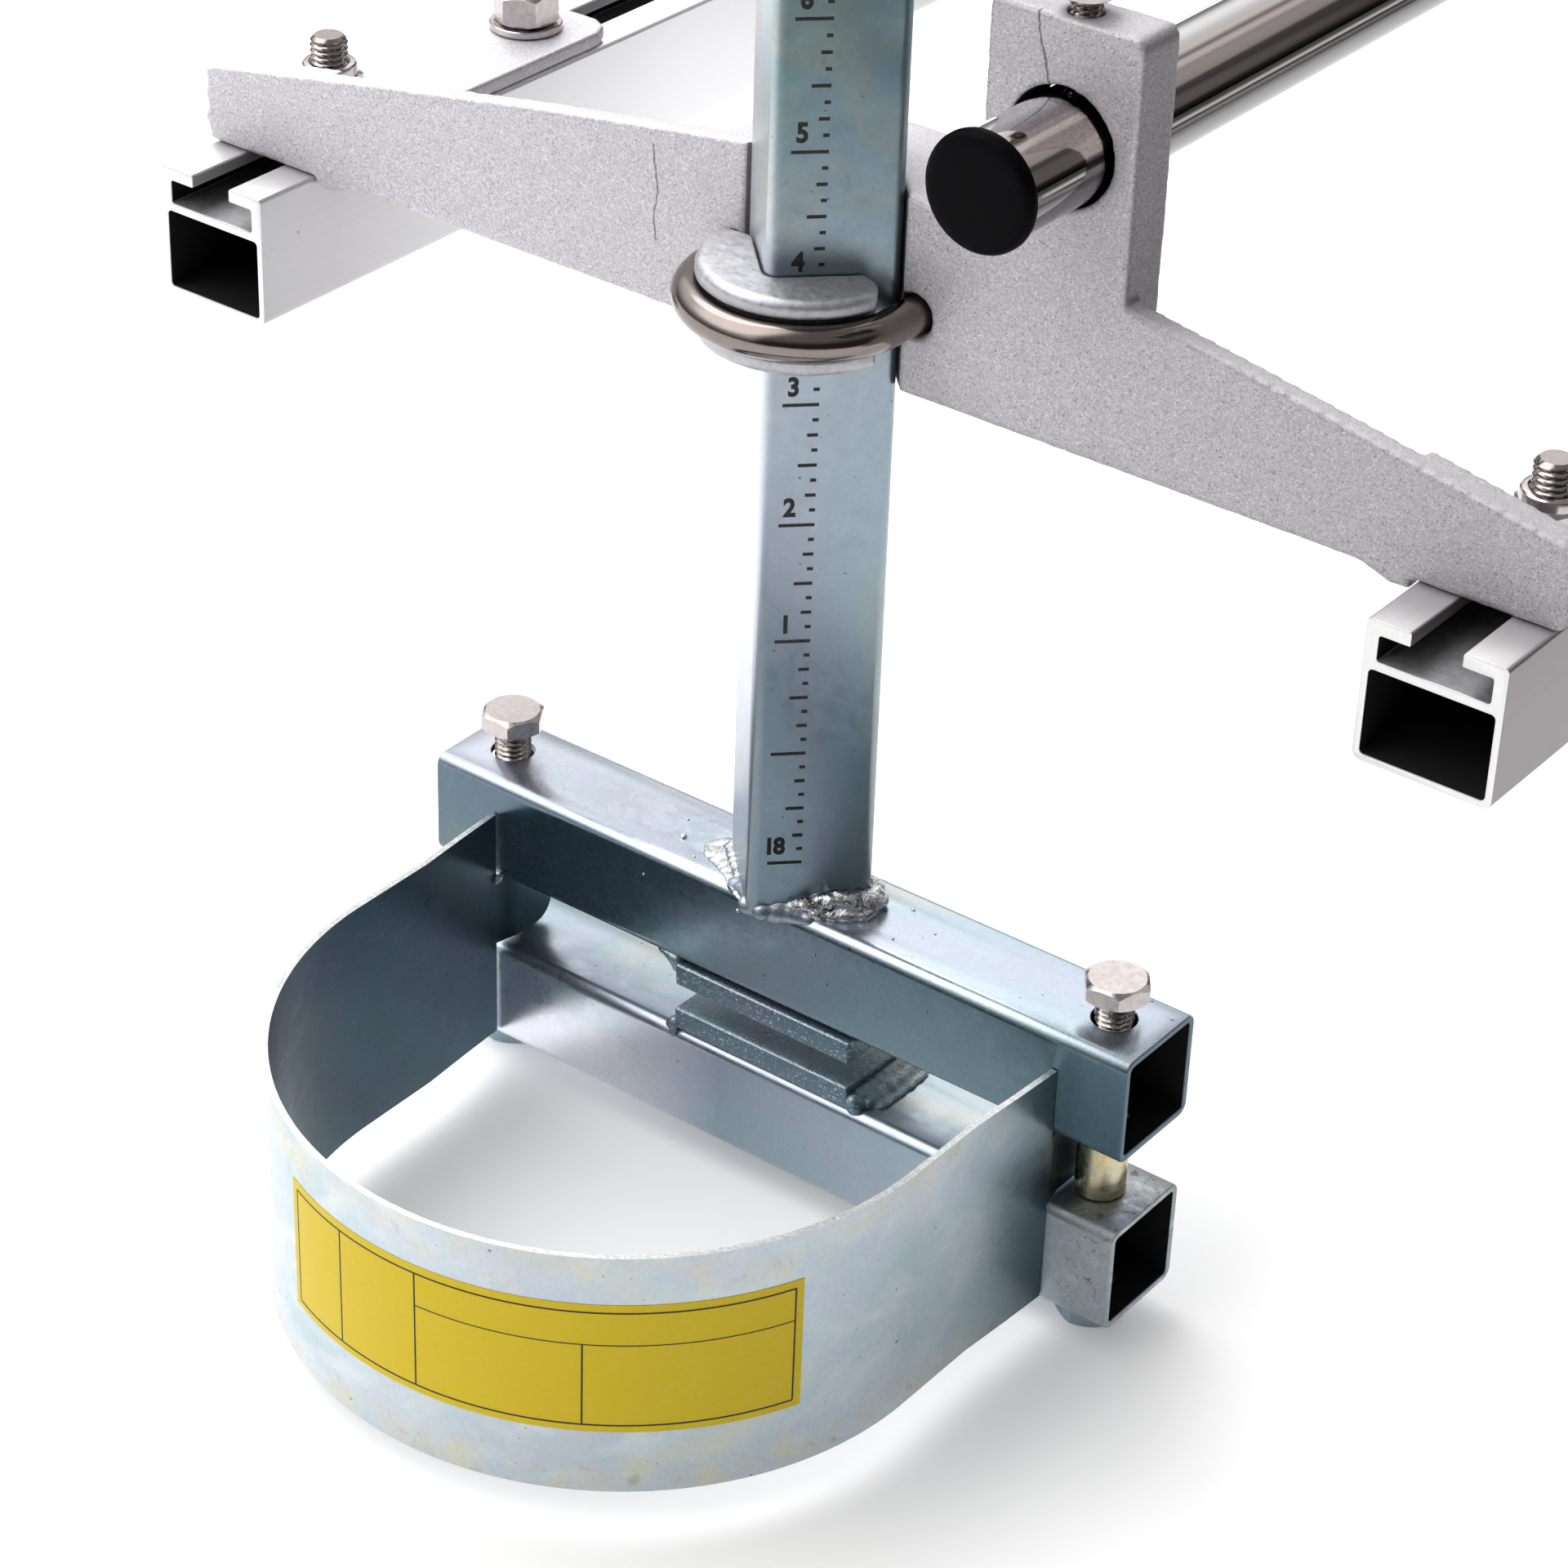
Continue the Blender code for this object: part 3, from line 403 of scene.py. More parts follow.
def cloud(place, size, detail=2.0, rough=0.5, warp=0.0, stretch=None, seed=0.0):
    """Noise whose lumps are about size millimetres, from 0 to 1."""
    if stretch or seed:
        shift = {"Vector": place, "Location": (seed, seed, seed), "Scale": stretch or (1, 1, 1)}
        place = node("Mapping", shift).outputs[0]
    inputs = {"Vector": place, "Scale": 1 / size, "Detail": detail, "Roughness": rough, "Distortion": warp}
    return node("TexNoise", inputs).outputs["Fac"]


def calc(operation, a, b=0.0, c=0.0, clamp=False):
    return node("Math", {0: a, 1: b, 2: c}, operation=operation, use_clamp=clamp).outputs[0]


def vector(operation, a, b=(0, 0, 0)):
    made = node("VectorMath", {0: a, 1: b}, operation=operation)
    return made.outputs["Value" if operation in ("DOT_PRODUCT", "LENGTH") else "Vector"]


def parts(value):
    return node("SeparateXYZ", {0: value}).outputs


def face_direction():
    return parts(node("NewGeometry").outputs["Normal"])


def band(value, low, high, to_low=0.0, to_high=1.0, kind="LINEAR"):
    """Maps value from low..high to to_low..to_high and clamps it."""
    inputs = {"Value": value, "From Min": low, "From Max": high, "To Min": to_low, "To Max": to_high}
    return node("MapRange", inputs, interpolation_type=kind).outputs["Result"]


def mix(share, a, b, blend="MIX"):
    made = node("Mix", data_type="RGBA", blend_type=blend)
    for index, value in ((0, share), (6, a), (7, b)):
        if isinstance(value, bpy.types.NodeSocket):
            TREE["now"].links.new(value, made.inputs[index])
        else:
            made.inputs[index].default_value = value if index == 0 else (*value, 1)
    return made.outputs[2]


def times(colour, factor, share=1.0):
    return mix(share, colour, factor, "MULTIPLY")


def ramp(value, stops):
    made = node("ValToRGB", {"Fac": value})
    colours = made.color_ramp
    while len(colours.elements) < len(stops):
        colours.elements.new(0.5)
    for element, (position, colour) in zip(colours.elements, stops):
        element.position = position
        element.color = (*colour, 1)
    return made.outputs["Color"]


def bump(height, strength, distance):
    inputs = {"Height": height, "Strength": strength, "Distance": distance * MM}
    return node("Bump", inputs).outputs["Normal"]


def feed(shader, **sockets):
    names = {"colour": "Base Color", "specular": "Specular IOR Level"}
    for key, value in sockets.items():
        TREE["now"].links.new(value, shader.inputs[names.get(key, key.title())])


TEAL, BLUE, LILAC = (0.33, 0.46, 0.49), (0.4, 0.5, 0.57), (0.45, 0.48, 0.58)
PALE, STRAW, RUST = (0.57, 0.63, 0.66), (0.6, 0.56, 0.44), (0.4, 0.33, 0.22)


def levels(value, stops):
    """Turns value into a level that follows the stops, each a value and its level. Darker is bluer."""
    low, high = stops[0][0], stops[-1][0]
    tints = [((at - low) / (high - low), (level ** 1.22, level, level ** 0.92)) for at, level in stops]
    return ramp(band(value, low, high), tints)


def zinc(name, stretch=(1, 1, 1), grain=0.03, low=0.24, high=0.38, seed=0.0, pale=0.4, painted_upright_shading=1.0, edges=(),
         painted_shading_by_height=(), worn=0.0, turn=(), painted_shading_across=(), flat=(), right=(), sparkle=0.0):
    """Bright zinc plate: drifting teal, blue and lilac, straw stains along given heights, specks and rubs,
    with painted light and shade. upright is how light the standing faces are painted beside the level ones,
    and fade lists heights and how light each is painted. worn is the X from which the plate is pitted. turn
    lists painted levels by the face's direction along X, across the painted levels of the standing faces by
    X, and flat those of the level faces. right is an axis and the painted levels along it of the faces to +X,
    and sparkle the share of bright grains."""
    made, shader, place = start(name, BLUE, 0.92, 0.34)
    at, facing = parts(place), face_direction()
    drift = cloud(place, 60, 3, 0.5, 0.6, stretch, seed)
    colour = ramp(drift, [(0.3, TEAL), (0.45, BLUE), (0.54, LILAC), (0.6, BLUE), (0.74, STRAW)])
    haze = cloud(place, 26, 4, 0.6, 1.0, stretch, seed + 7)
    colour = mix(band(haze, 0.48, 0.7, 0.35 * pale, pale), colour, PALE)
    waves = cloud(place, 11, 4, 0.6, 0.6, None, seed + 21)
    wander = calc("ADD", at["Z"], band(waves, 0.3, 0.7, -6, 6))
    for level, reach, strength in edges:
        near = band(calc("ABSOLUTE", calc("SUBTRACT", wander, level)), reach, 0.3 * reach)
        patch = band(cloud(place, 16, 4, 0.65, 1.2, None, seed + level), 0.42, 0.62, 0, strength)
        colour = mix(calc("MULTIPLY", near, patch), colour, STRAW)
        blot = band(cloud(place, 5, 5, 0.7, 1.0, None, seed + level + 3), 0.58, 0.7, 0, 0.7 * strength)
        colour = mix(calc("MULTIPLY", near, blot), colour, RUST)
    # Painted light and shade: the colour is made lighter or darker by height, by how upright a face is, by
    # its direction along X, and for faces to +X along an axis.
    if painted_shading_by_height:
        colour = times(colour, levels(at["Z"], painted_shading_by_height))
    if painted_upright_shading < 1:
        colour = times(colour, levels(facing["Z"], ((0.1, painted_upright_shading), (0.75, 1.0))))
    if turn:
        colour = times(colour, levels(facing["X"], turn))
    if right:
        colour = times(colour, levels(at[right[0]], right[1]), band(facing["X"], 0, 0.4))
    if sparkle:
        grains = band(cloud(place, 0.55, 2, 0.6), 0.6, 0.68, 0, sparkle)
        colour = mix(grains, colour, (0.85, 0.87, 0.88))
    # Painted light and shade: standing faces and level faces take their own levels by X.
    level_share = band(facing["Z"], 0.3, 0.8)
    if painted_shading_across:
        colour = times(colour, levels(at["X"], painted_shading_across), calc("SUBTRACT", 1.0, level_share))
    if flat:
        colour = times(colour, levels(at["X"], flat), level_share)
    blot = cloud(place, 9, 5, 0.7, 1.5, None, seed + 3)
    colour = mix(band(blot, 0.66, 0.76, 0, 0.3), colour, (0.36, 0.34, 0.3))
    colour = times(colour, mix(cloud(place, 1.1, 3, 0.6), (0.9, 0.9, 0.9), (1.08, 1.08, 1.08)))
    speck = cloud(place, 1.3, 1, 0.4, 0, None, seed + 11)
    colour = mix(band(speck, 0.77, 0.8, 0, 0.7), colour, (0.06, 0.05, 0.04))
    rough = band(cloud(place, 4.5, 6, 0.7, 0.5, None, seed + 5), 0.3, 0.7, low, high)
    if worn:
        patch = band(cloud(place, 8, 5, 0.75, 1.5, None, seed + 17), 0.36, 0.5)
        share = calc("MULTIPLY", band(at["X"], worn - 9, worn + 3), patch)
        pitted = mix(cloud(place, 0.9, 5, 0.8), (0.24, 0.25, 0.26), (0.5, 0.52, 0.54))
        pitted = mix(band(cloud(place, 2.0, 5, 0.75, 1.0), 0.58, 0.64, 0, 0.8), pitted, (0.07, 0.07, 0.07))
        colour = mix(calc("MULTIPLY", share, 0.85), colour, pitted)
        rough = calc("ADD", rough, calc("MULTIPLY", share, 0.2))
    feed(shader, colour=colour, roughness=rough)
    if grain:
        feed(shader, normal=bump(cloud(place, 0.8, 4, 0.7), 0.6, grain))
    return made


def crack(place, points, width):
    """1 on a thin wandering line through points (x, z) of the near casting's front face, and 0 off it."""
    wobble = node("TexNoise", {"Vector": place, "Scale": 0.6, "Detail": 4.0}).outputs["Color"]
    wobble = vector("MULTIPLY", vector("SUBTRACT", wobble, (0.5,) * 3), (1.1, 0, 1.1))
    flat = vector("MULTIPLY", vector("ADD", place, wobble), (1, 0, 1))
    nearest = None
    for (x0, z0), (x1, z1) in zip(points, points[1:]):
        span = Vector((x1 - x0, 0, z1 - z0))
        reach = vector("SUBTRACT", flat, (x0, 0, z0 + FOOT_Z))
        share = calc("MULTIPLY", vector("DOT_PRODUCT", reach, tuple(span)), 1 / span.length_squared, 0, True)
        foot = node("VectorMath", {0: tuple(span), "Scale": share}, operation="SCALE").outputs[0]
        away = vector("LENGTH", vector("SUBTRACT", reach, foot))
        nearest = away if nearest is None else calc("MINIMUM", nearest, away)
    off_face = calc("ABSOLUTE", calc("SUBTRACT", parts(place)["Y"], NEAR_FACE_Y))
    return calc("MULTIPLY", band(nearest, width, 0.4 * width), calc("LESS_THAN", off_face, 1.2))


def casting_material():
    """Grey sand grain, dull pits, dark nicks and two hairline cracks, with painted light and shade: lighter
    level faces, darker side and back faces, a tone that darkens from left to right, and a black ring painted
    in the bore as shade.
    """
    made, shader, place = start("cast_metal", (0.55, 0.54, 0.56), 0.4, 0.5)
    at, facing = parts(place), face_direction()
    cells = node("TexVoronoi", {"Vector": place, "Scale": 1 / 0.3, "Randomness": 1.0}, feature="F1")
    level = node("SeparateColor", {0: cells.outputs["Color"]}).outputs[0]
    fine = cloud(place, 0.5, 4, 0.75)
    tone = calc("ADD", calc("MULTIPLY", fine, 0.55), calc("MULTIPLY", level, 0.45))
    colour = ramp(tone, [(0.15, (0.39, 0.38, 0.4)), (0.5, (0.57, 0.555, 0.58)), (0.85, (0.78, 0.76, 0.79))])
    colour = mix(band(cloud(place, 2.2, 3, 0.6), 0.3, 0.7, 0.0, 0.16), colour, (0.42, 0.41, 0.43))
    colour = mix(band(level, 0.96, 0.98, 0, 0.6), colour, (0.84, 0.83, 0.85))
    colour = mix(band(level, 0.05, 0.02, 0, 0.5), colour, (0.2, 0.2, 0.2))
    nick = cloud(place, 5.5, 6, 0.75, 0.8)
    colour = mix(band(nick, 0.71, 0.74, 0, 0.75), colour, (0.1, 0.1, 0.1))
    tower = crack(place, ((43.6, 200.5), (44.2, 197.6), (44.9, 193.7), (46.4, 189.6), (47.4, 184.6)), 0.3)
    web = crack(place, ((-40.5, 149), (-40, 144.4), (-39.1, 139.6), (-40.2, 134.7), (-39.6, 129.6)), 0.26)
    split = calc("MAXIMUM", tower, web)
    # Painted light and shade: level faces lighter, faces to +X, to -X and to the back darker.
    colour = mix(band(facing["Z"], 0.5, 0.9, 0, 0.3), colour, (0.84, 0.83, 0.86))
    colour = times(colour, (0.66, 0.65, 0.65), band(facing["X"], 0.5, 0.95))
    for axis, low, high in (("X", -0.5, -0.95), ("Y", 0.5, 0.95)):
        colour = times(colour, (0.72, 0.72, 0.72), band(facing[axis], low, high))
    # Painted light: the colour darkens from left to right across the casting.
    colour = times(colour, mix(band(at["X"], -150, 140), (1.19, 1.18, 1.2), (0.8, 0.79, 0.79)))
    colour = mix(calc("MULTIPLY", split, 0.8), colour, (0.08, 0.08, 0.08))
    # Painted shade: a black ring round the bore and inside it, matt and without shine.
    from_bore = vector("SUBTRACT", vector("MULTIPLY", place, (1, 0, 1)), (HANDLE_X, 0, BORE_Z + FOOT_Z))
    painted_bore_shade = band(vector("LENGTH", from_bore), BORE_R + 0.35, BORE_R + 0.15)
    colour = mix(painted_bore_shade, colour, (0.012, 0.012, 0.012))
    rough = calc("MAXIMUM", painted_bore_shade, band(fine, 0.3, 0.7, 0.42, 0.62))
    feed(shader, colour=colour, roughness=rough, metallic=band(painted_bore_shade, 0, 1, 0.4, 0))
    feed(shader, specular=band(painted_bore_shade, 0, 1, 0.5, 0), normal=bump(calc("SUBTRACT", tone, split), 0.3, 0.1))
    return made


def extruded_material():
    """Satin aluminium with faint die lines along the rail, dark nicks, and bright saw marks on the ends, with
    painted light on a stretch of the rails and painted light and shade on the side faces.
    """
    made, shader, place = start("extruded_aluminium", (0.55, 0.54, 0.55), 0.8, 0.4)
    at, facing = parts(place), face_direction()
    lines = cloud(place, 0.5, 3, 0.6, 0, (1, 0.012, 1))
    broad = cloud(place, 14, 4, 0.6, 0.4, (1, 0.15, 1))
    colour = mix(lines, (0.47, 0.46, 0.465), (0.58, 0.57, 0.575))
    colour = mix(band(broad, 0.35, 0.65, 0, 0.5), colour, (0.57, 0.56, 0.57))
    nick = cloud(place, 3.2, 4, 0.6, 0.6, (1, 0.8, 1.2))
    colour = mix(band(nick, 0.73, 0.77, 0, 0.6), colour, (0.12, 0.12, 0.12))
    # Painted light: a stretch of the rails is lightened toward white.
    bright = calc("MULTIPLY", band(at["Y"], -235, -120, 0, 0.9), band(at["Y"], -70, 0, 1, 0))
    colour = mix(bright, colour, (0.88, 0.88, 0.89))
    # Painted light and shade: faces to +X lighter on the left rail and darker on the right one, faces to -X
    # darker.
    side = mix(band(at["X"], -50, 50), (1.15, 1.15, 1.15), (0.63, 0.61, 0.61))
    colour = times(colour, side, band(facing["X"], 0.5, 0.9))
    colour = times(colour, (0.6, 0.6, 0.6), band(facing["X"], -0.5, -0.9))
    end = calc("GREATER_THAN", calc("ABSOLUTE", facing["Y"]), 0.7)
    saw = cloud(place, 0.35, 5, 0.75, 0.5, (1, 1, 0.25))
    colour = mix(end, colour, mix(saw, (0.7, 0.7, 0.7), (0.98, 0.98, 0.97)))
    rough = calc("ADD", band(lines, 0, 1, 0.32, 0.46), calc("MULTIPLY", end, 0.06))
    height = calc("ADD", calc("MULTIPLY", lines, 0.3), calc("MULTIPLY", saw, end))
    feed(shader, colour=colour, roughness=rough, normal=bump(height, 0.5, 0.06))
    return made


def plain_metal(name, colour, roughness, spread=0.08, size=2.0, shade=0.08, grain=0.0, metallic=1.0,
                dark=0.0, wrinkle=0.6):
    """Bare or plated metal with fine handling marks, and dark stains where asked."""
    made, shader, place = start(name, colour, metallic, roughness)
    marks = cloud(place, size, 5, 0.65, 0.4)
    darker = tuple(c * (1 - shade) for c in colour)
    lighter = tuple(min(1, c * (1 + shade)) for c in colour)
    tint = mix(band(marks, 0.3, 0.7), darker, lighter)
    if dark:
        stain = cloud(place, 2.6, 5, 0.7, 1.2, None, 13)
        tint = mix(band(stain, 0.5, 0.6, 0, dark), tint, (0.06, 0.055, 0.05))
    feed(shader, colour=tint, roughness=band(marks, 0.3, 0.7, roughness - spread, roughness + spread))
    if grain:
        feed(shader, normal=bump(cloud(place, wrinkle, 4, 0.65, 2 * grain), 0.6, grain))
    return made


def gold_zinc():
    made, shader, place = start("yellow_zinc_plate", (0.66, 0.55, 0.3), 1.0, 0.28)
    stops = (
        (0.3, (0.46, 0.4, 0.26)), (0.45, (0.68, 0.57, 0.32)), (0.6, (0.6, 0.57, 0.44)),
        (0.7, (0.56, 0.46, 0.4)),
    )
    rough = band(cloud(place, 1.5, 4), 0.3, 0.7, 0.2, 0.36)
    feed(shader, colour=ramp(cloud(place, 7, 3, 0.5, 1.0), stops), roughness=rough)
    return made


# Painted reflection bands of the chrome tube, set by the side of the tube.
CHROME_FROM, CHROME_TO = -50, 140
CHROME_REFLECTION_BANDS = (
    (-50, 0.15, 0), (-24, 0.21, 0), (-12.5, 0.22, 0), (-7, 0.12, 0.3), (-3.8, 0.11, 0.3), (0, 0.3, 0.3),
    (5, 0.36, 0.4), (8, 0.03, 1), (13, 0.01, 1), (17, 0.26, 1), (20, 1, 1), (33, 1, 1), (36, 0.8, 1),
    (41, 0.75, 1), (46, 0.7, 1), (52, 0.57, 1), (55.5, 1, 1), (60, 1, 1), (62.5, 0.5, 1), (66, 0.5, 0.8),
    (70.6, 0.29, 0.6), (77.5, 0.32, 0.3), (86, 0.5, 0), (97, 0.85, 0), (120, 0.85, 0),
)


def chrome():
    """Chrome with painted reflections: its tone follows the side of the tube: rows of degrees up from +X,
    level and warmth.
    """
    made, shader, place = start("chrome_plate_painted_reflection", (0.8, 0.78, 0.77), 1.0, 0.06)
    facing = face_direction()
    angle = calc("ARCTAN2", facing["Z"], facing["X"])
    share = band(angle, math.radians(CHROME_FROM), math.radians(CHROME_TO))
    stops = []
    for at, level, warm in CHROME_REFLECTION_BANDS:
        colour = (level, level * (1 - 0.13 * warm), level * (1 - 0.16 * warm))
        stops.append(((at - CHROME_FROM) / (CHROME_TO - CHROME_FROM), colour))
    marks = cloud(place, 5, 4, 0.6, 0.4, (1, 0.3, 1))
    feed(shader, colour=ramp(share, stops), roughness=band(marks, 0.3, 0.7, 0.045, 0.08))
    return made


def plastic():
    made, shader, place = start("black_plastic_cap", (0.004, 0.004, 0.004), 0.0, 0.42)
    marks = cloud(place, 0.7, 4, 0.7)
    feed(shader, colour=mix(marks, (0.002, 0.002, 0.0025), (0.004, 0.004, 0.005)))
    feed(shader, roughness=band(cloud(place, 3, 4), 0.3, 0.7, 0.34, 0.5), normal=bump(marks, 0.3, 0.03))
    shader.inputs["Specular IOR Level"].default_value = 0.03
    return made


def flat_paint(name, colour, roughness, worn=0.0, shine=0.5):
    made, shader, place = start(name, colour, 0.0, roughness)
    marks = cloud(place, 1.3, 4, 0.6)
    lighter = tuple(min(1, c + worn) for c in colour)
    feed(shader, colour=mix(band(marks, 0.4, 0.75), colour, lighter))
    feed(shader, roughness=band(marks, 0.2, 0.8, roughness - 0.06, roughness + 0.06))
    shader.inputs["Specular IOR Level"].default_value = shine
    return made


MAT = {
    # The zinc levels set here by height, by facing and by X are painted light and shade.
    "tube": zinc(
        "zinc_tube", (0.5, 1, 1), low=0.2, high=0.33, seed=2, pale=0.5, painted_upright_shading=0.46,
        flat=((-90, 1.2), (50, 1.0)),
        painted_shading_across=((-88, 0.62), (-60, 0.6), (-30, 0.93), (50, 1.0), (69, 0.95), (75, 0.56), (88, 0.5))),
    "low": zinc(
        "zinc_low_tube", (0.5, 1, 1), seed=12, pale=0.5, painted_upright_shading=0.82, worn=76,
        painted_shading_across=((-88, 1.9), (-45, 1.8), (-10, 0.8), (45, 1.0), (66, 1.05))),
    "post": zinc(
        "zinc_post", (1, 1, 0.35), seed=9, pale=0.8, low=0.28, high=0.42, edges=((FOOT_Z + 165, 60, 0.5),),
        painted_shading_by_height=((72, 0.6), (110, 0.85), (145, 1.0), (190, 0.93), (240, 0.74), (420, 0.8)),
        turn=((-0.8, 1.48), (0.7, 0.88)), right=("Z", ((190, 0.88), (230, 0.68), (300, 0.54)))),
    "guard": zinc(
        "zinc_guard", (1, 1, 1.6), seed=4, pale=1.0, edges=((62, 7, 0.6), (8, 8, 0.85)),
        painted_shading_by_height=((0, 1.0), (70, 1.06)), turn=((-0.9, 1.1), (0.6, 0.96)),
        right=("Y", ((-290, 0.93), (-276, 0.78), (-264, 0.5), (-253, 0.22)))),
    # The guard's inner faces: the same zinc painted much darker, painted shade.
    "inside": zinc("zinc_guard_inside_painted_shade", (1, 1, 1.6), seed=5, pale=0.2, painted_shading_by_height=((8, 0.3), (62, 0.23))),
    "pad": zinc(
        "zinc_pad", grain=0.5, low=0.22, high=0.36, seed=6, pale=0.3, painted_upright_shading=0.5, sparkle=0.6,
        painted_shading_by_height=((0, 0.8), (420, 0.8))),
    "hardware": zinc("zinc_hardware", seed=1, painted_upright_shading=0.7),
    "film": zinc("zinc_film", grain=0.3, low=0.26, high=0.4, seed=8, pale=0.4, painted_upright_shading=0.7, sparkle=0.3),
    "edge": plain_metal("worn_sheet_edge", (0.62, 0.63, 0.62), 0.36, 0.1, 0.9, 0.3, 0.2),
    "weld": plain_metal("weld_metal", (0.7, 0.7, 0.72), 0.1, 0.04, 1.6, 0.2, 0.9, dark=0.85, wrinkle=4.0),
    "splash": plain_metal(
        "weld_splash", (0.8, 0.82, 0.84), 0.24, 0.06, 2.0, 0.08, 0.02, dark=0.5, wrinkle=2.0),
    "cast": casting_material(),
    # Painted shade for the flanks of the casting's recess.
    "shade": plain_metal("cast_recess_painted_shade", (0.16, 0.16, 0.17), 0.6, 0.06, 1.0, 0.2, 0.1, 0.3),
    "rail": extruded_material(),
    # The rail slot's floor: painted shade, darker than the rail.
    "groove": plain_metal("rail_slot", (0.3, 0.3, 0.31), 0.5, 0.05, 2.0, 0.2, 0.0, 0.7),
    # Near black, painted shade for hollows and slot walls.
    "dark": flat_paint("hollow_painted_shade", (0.006, 0.006, 0.007), 0.7, 0.003, 0.2),
    "bolt": plain_metal("stainless_bolt", (0.53, 0.485, 0.475), 0.17, 0.07, 1.5, 0.16, 0.05),
    # Painted shade: threaded shanks and slot bolts are coloured darker than the heads.
    "thread": plain_metal("stainless_thread_painted_shade", (0.36, 0.325, 0.31), 0.17, 0.05, 1.8, 0.12, 0.02),
    "rod": plain_metal("stainless_rod", (0.245, 0.21, 0.195), 0.15, 0.03, 3.0, 0.06),
    "saddle": plain_metal("tumbled_steel", (0.52, 0.52, 0.545), 0.42, 0.1, 1.6, 0.14, 0.05, 0.7, dark=0.12),
    "chrome": chrome(),
    "gold": gold_zinc(),
    "cap": plastic(),
    "ink": flat_paint("black_ink", (0.014, 0.011, 0.009), 0.45, 0.015, 0.3),
    "label": flat_paint("yellow_label", (0.66, 0.49, 0.008), 0.4, 0.02, 0.2),
}

# Pieces


def piece(name, mesh, matrix, material, body, *nodes, sharp=28, inner=()):
    """Puts a shape in the frame. inner holds pairs: another material, and a test of which faces take it."""
    mesh = mesh.copy()
    mesh.name = name
    mesh.materials.clear()
    mesh.materials.append(MAT[material])
    for number, (other, test) in enumerate(inner, 1):
        mesh.materials.append(MAT[other])
        for face in mesh.polygons:
            if test(face):
                face.material_index = number
    mesh.transform(matrix)
    if matrix.determinant() < 0:
        mesh.flip_normals()
    mesh.shade_smooth()
    mesh.set_sharp_from_angle(angle=math.radians(sharp))
    obj = added(name, mesh)
    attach(obj, body)
    if nodes:
        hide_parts(*nodes)


def spot(end, x=0.0, y=0.0, z=0.0, turn=0.0, half_turn=True):
    """Places a shape at a point of one end. The far end's shapes are turned half round."""
    turn += math.pi if end == "far" and half_turn else 0
    place = Matrix.Translation(ENDS[end] @ Vector((x, y, z)))
    return place @ Matrix.Rotation(turn, 4, "Z") @ Matrix.Scale(MM, 4)


def clamp_tube():
    tube = square_tube(TUBE, TUBE_WALL, TUBE_CORNER, -TUBE_HALF, TUBE_HALF, "X")
    holes = [moved(cylinder(4.6, -30, 30), x) for x in (-BOLT_X, BOLT_X)]
    return softened(cut(tube, *holes), 0.15, 1, 50)


def pad():
    plate = prism(rounded(rectangle(TUBE, 5.2), 0.7, 3), -PAD_HALF, PAD_HALF, "X")
    plate = modified(softened(plate, 0.45, 3), "SUBSURF", subdivision_type="SIMPLE", levels=2)
    return roughened(plate, (3, 0.1), (1, 0.04))


def tube_hollow(face):
    half = TUBE / 2 - TUBE_WALL + 0.05
    c = face.center
    return abs(c.y) < half and abs(c.z) < half and abs(c.x) < TUBE_HALF - 0.2


def post_hollow(face):
    half = POST / 2 - POST_WALL + 0.05
    c = face.center
    return abs(c.x) < half and abs(c.y) < half and c.z < POST_TOP - 0.2


def shank(face):
    return face.center.z < -0.3


def clamp(end):
    body, jaw = end + "_post", end + "_jaw"
    tube = clamp_tube()
    low = -TUBE - SPACE
    # The insides of the clamp tubes and the post are painted near black as shade.
    inner = (("dark", tube_hollow),)
    upper, lower = spot(end, z=-TUBE / 2), spot(end, z=low - TUBE / 2)
    piece(end + "_upper_clamp_tube", tube, upper, "tube", body, end + "_upper_tube", inner=inner)
    piece(end + "_lower_clamp_tube", tube, lower, "low", jaw, end + "_lower_tube", inner=inner)
    plate = pad()
    piece(end + "_upper_jaw_plate", plate, spot(end, z=-TUBE - 3.4), "pad", body, end + "_upper_pad")
    piece(end + "_lower_jaw_plate", plate, spot(end, z=low + 2.9), "pad", jaw, end + "_lower_pad")
    pad_welds(end, body, jaw, low)
    post = square_tube(POST, POST_WALL, POST_CORNER, 0.3, POST_TOP, "Z")
    at = spot(end, turn=math.radians(45))
    piece(end + "_square_post", post, at, "post", body, end + "_post", inner=(("dark", post_hollow),))
    post_weld(end, body)
    scale(end, body)
    screw = nut(M8_FLATS, M8_NUT, M8_BORE)
    spacer = washer(4.4, 5.2, SPACE - 0.6)
    bolt = hex_bolt(M8, 12.4, 4.2, 74, M8_PITCH)
    for side, x, raised, angle in (("left", -BOLT_X, 6.0, 31), ("right", BOLT_X, 5.4, 36.4)):
        tail = end + "_clamp_bolt_" + side
        at = spot(end, x, 0, raised, math.radians(angle), False)
        piece(tail + "_screw", bolt, at, "bolt", tail, tail, inner=(("thread", shank),))
        at = spot(end, x, 0, low + 0.3)
        piece(end + "_gold_spacer_" + side, spacer, at, "gold", jaw, end + "_spacer_" + side)
        at = spot(end, x, 0, low - TUBE - 6.8)
        piece(end + "_weld_nut_" + side, screw, at, "hardware", jaw, end + "_clamp_nut_" + side)


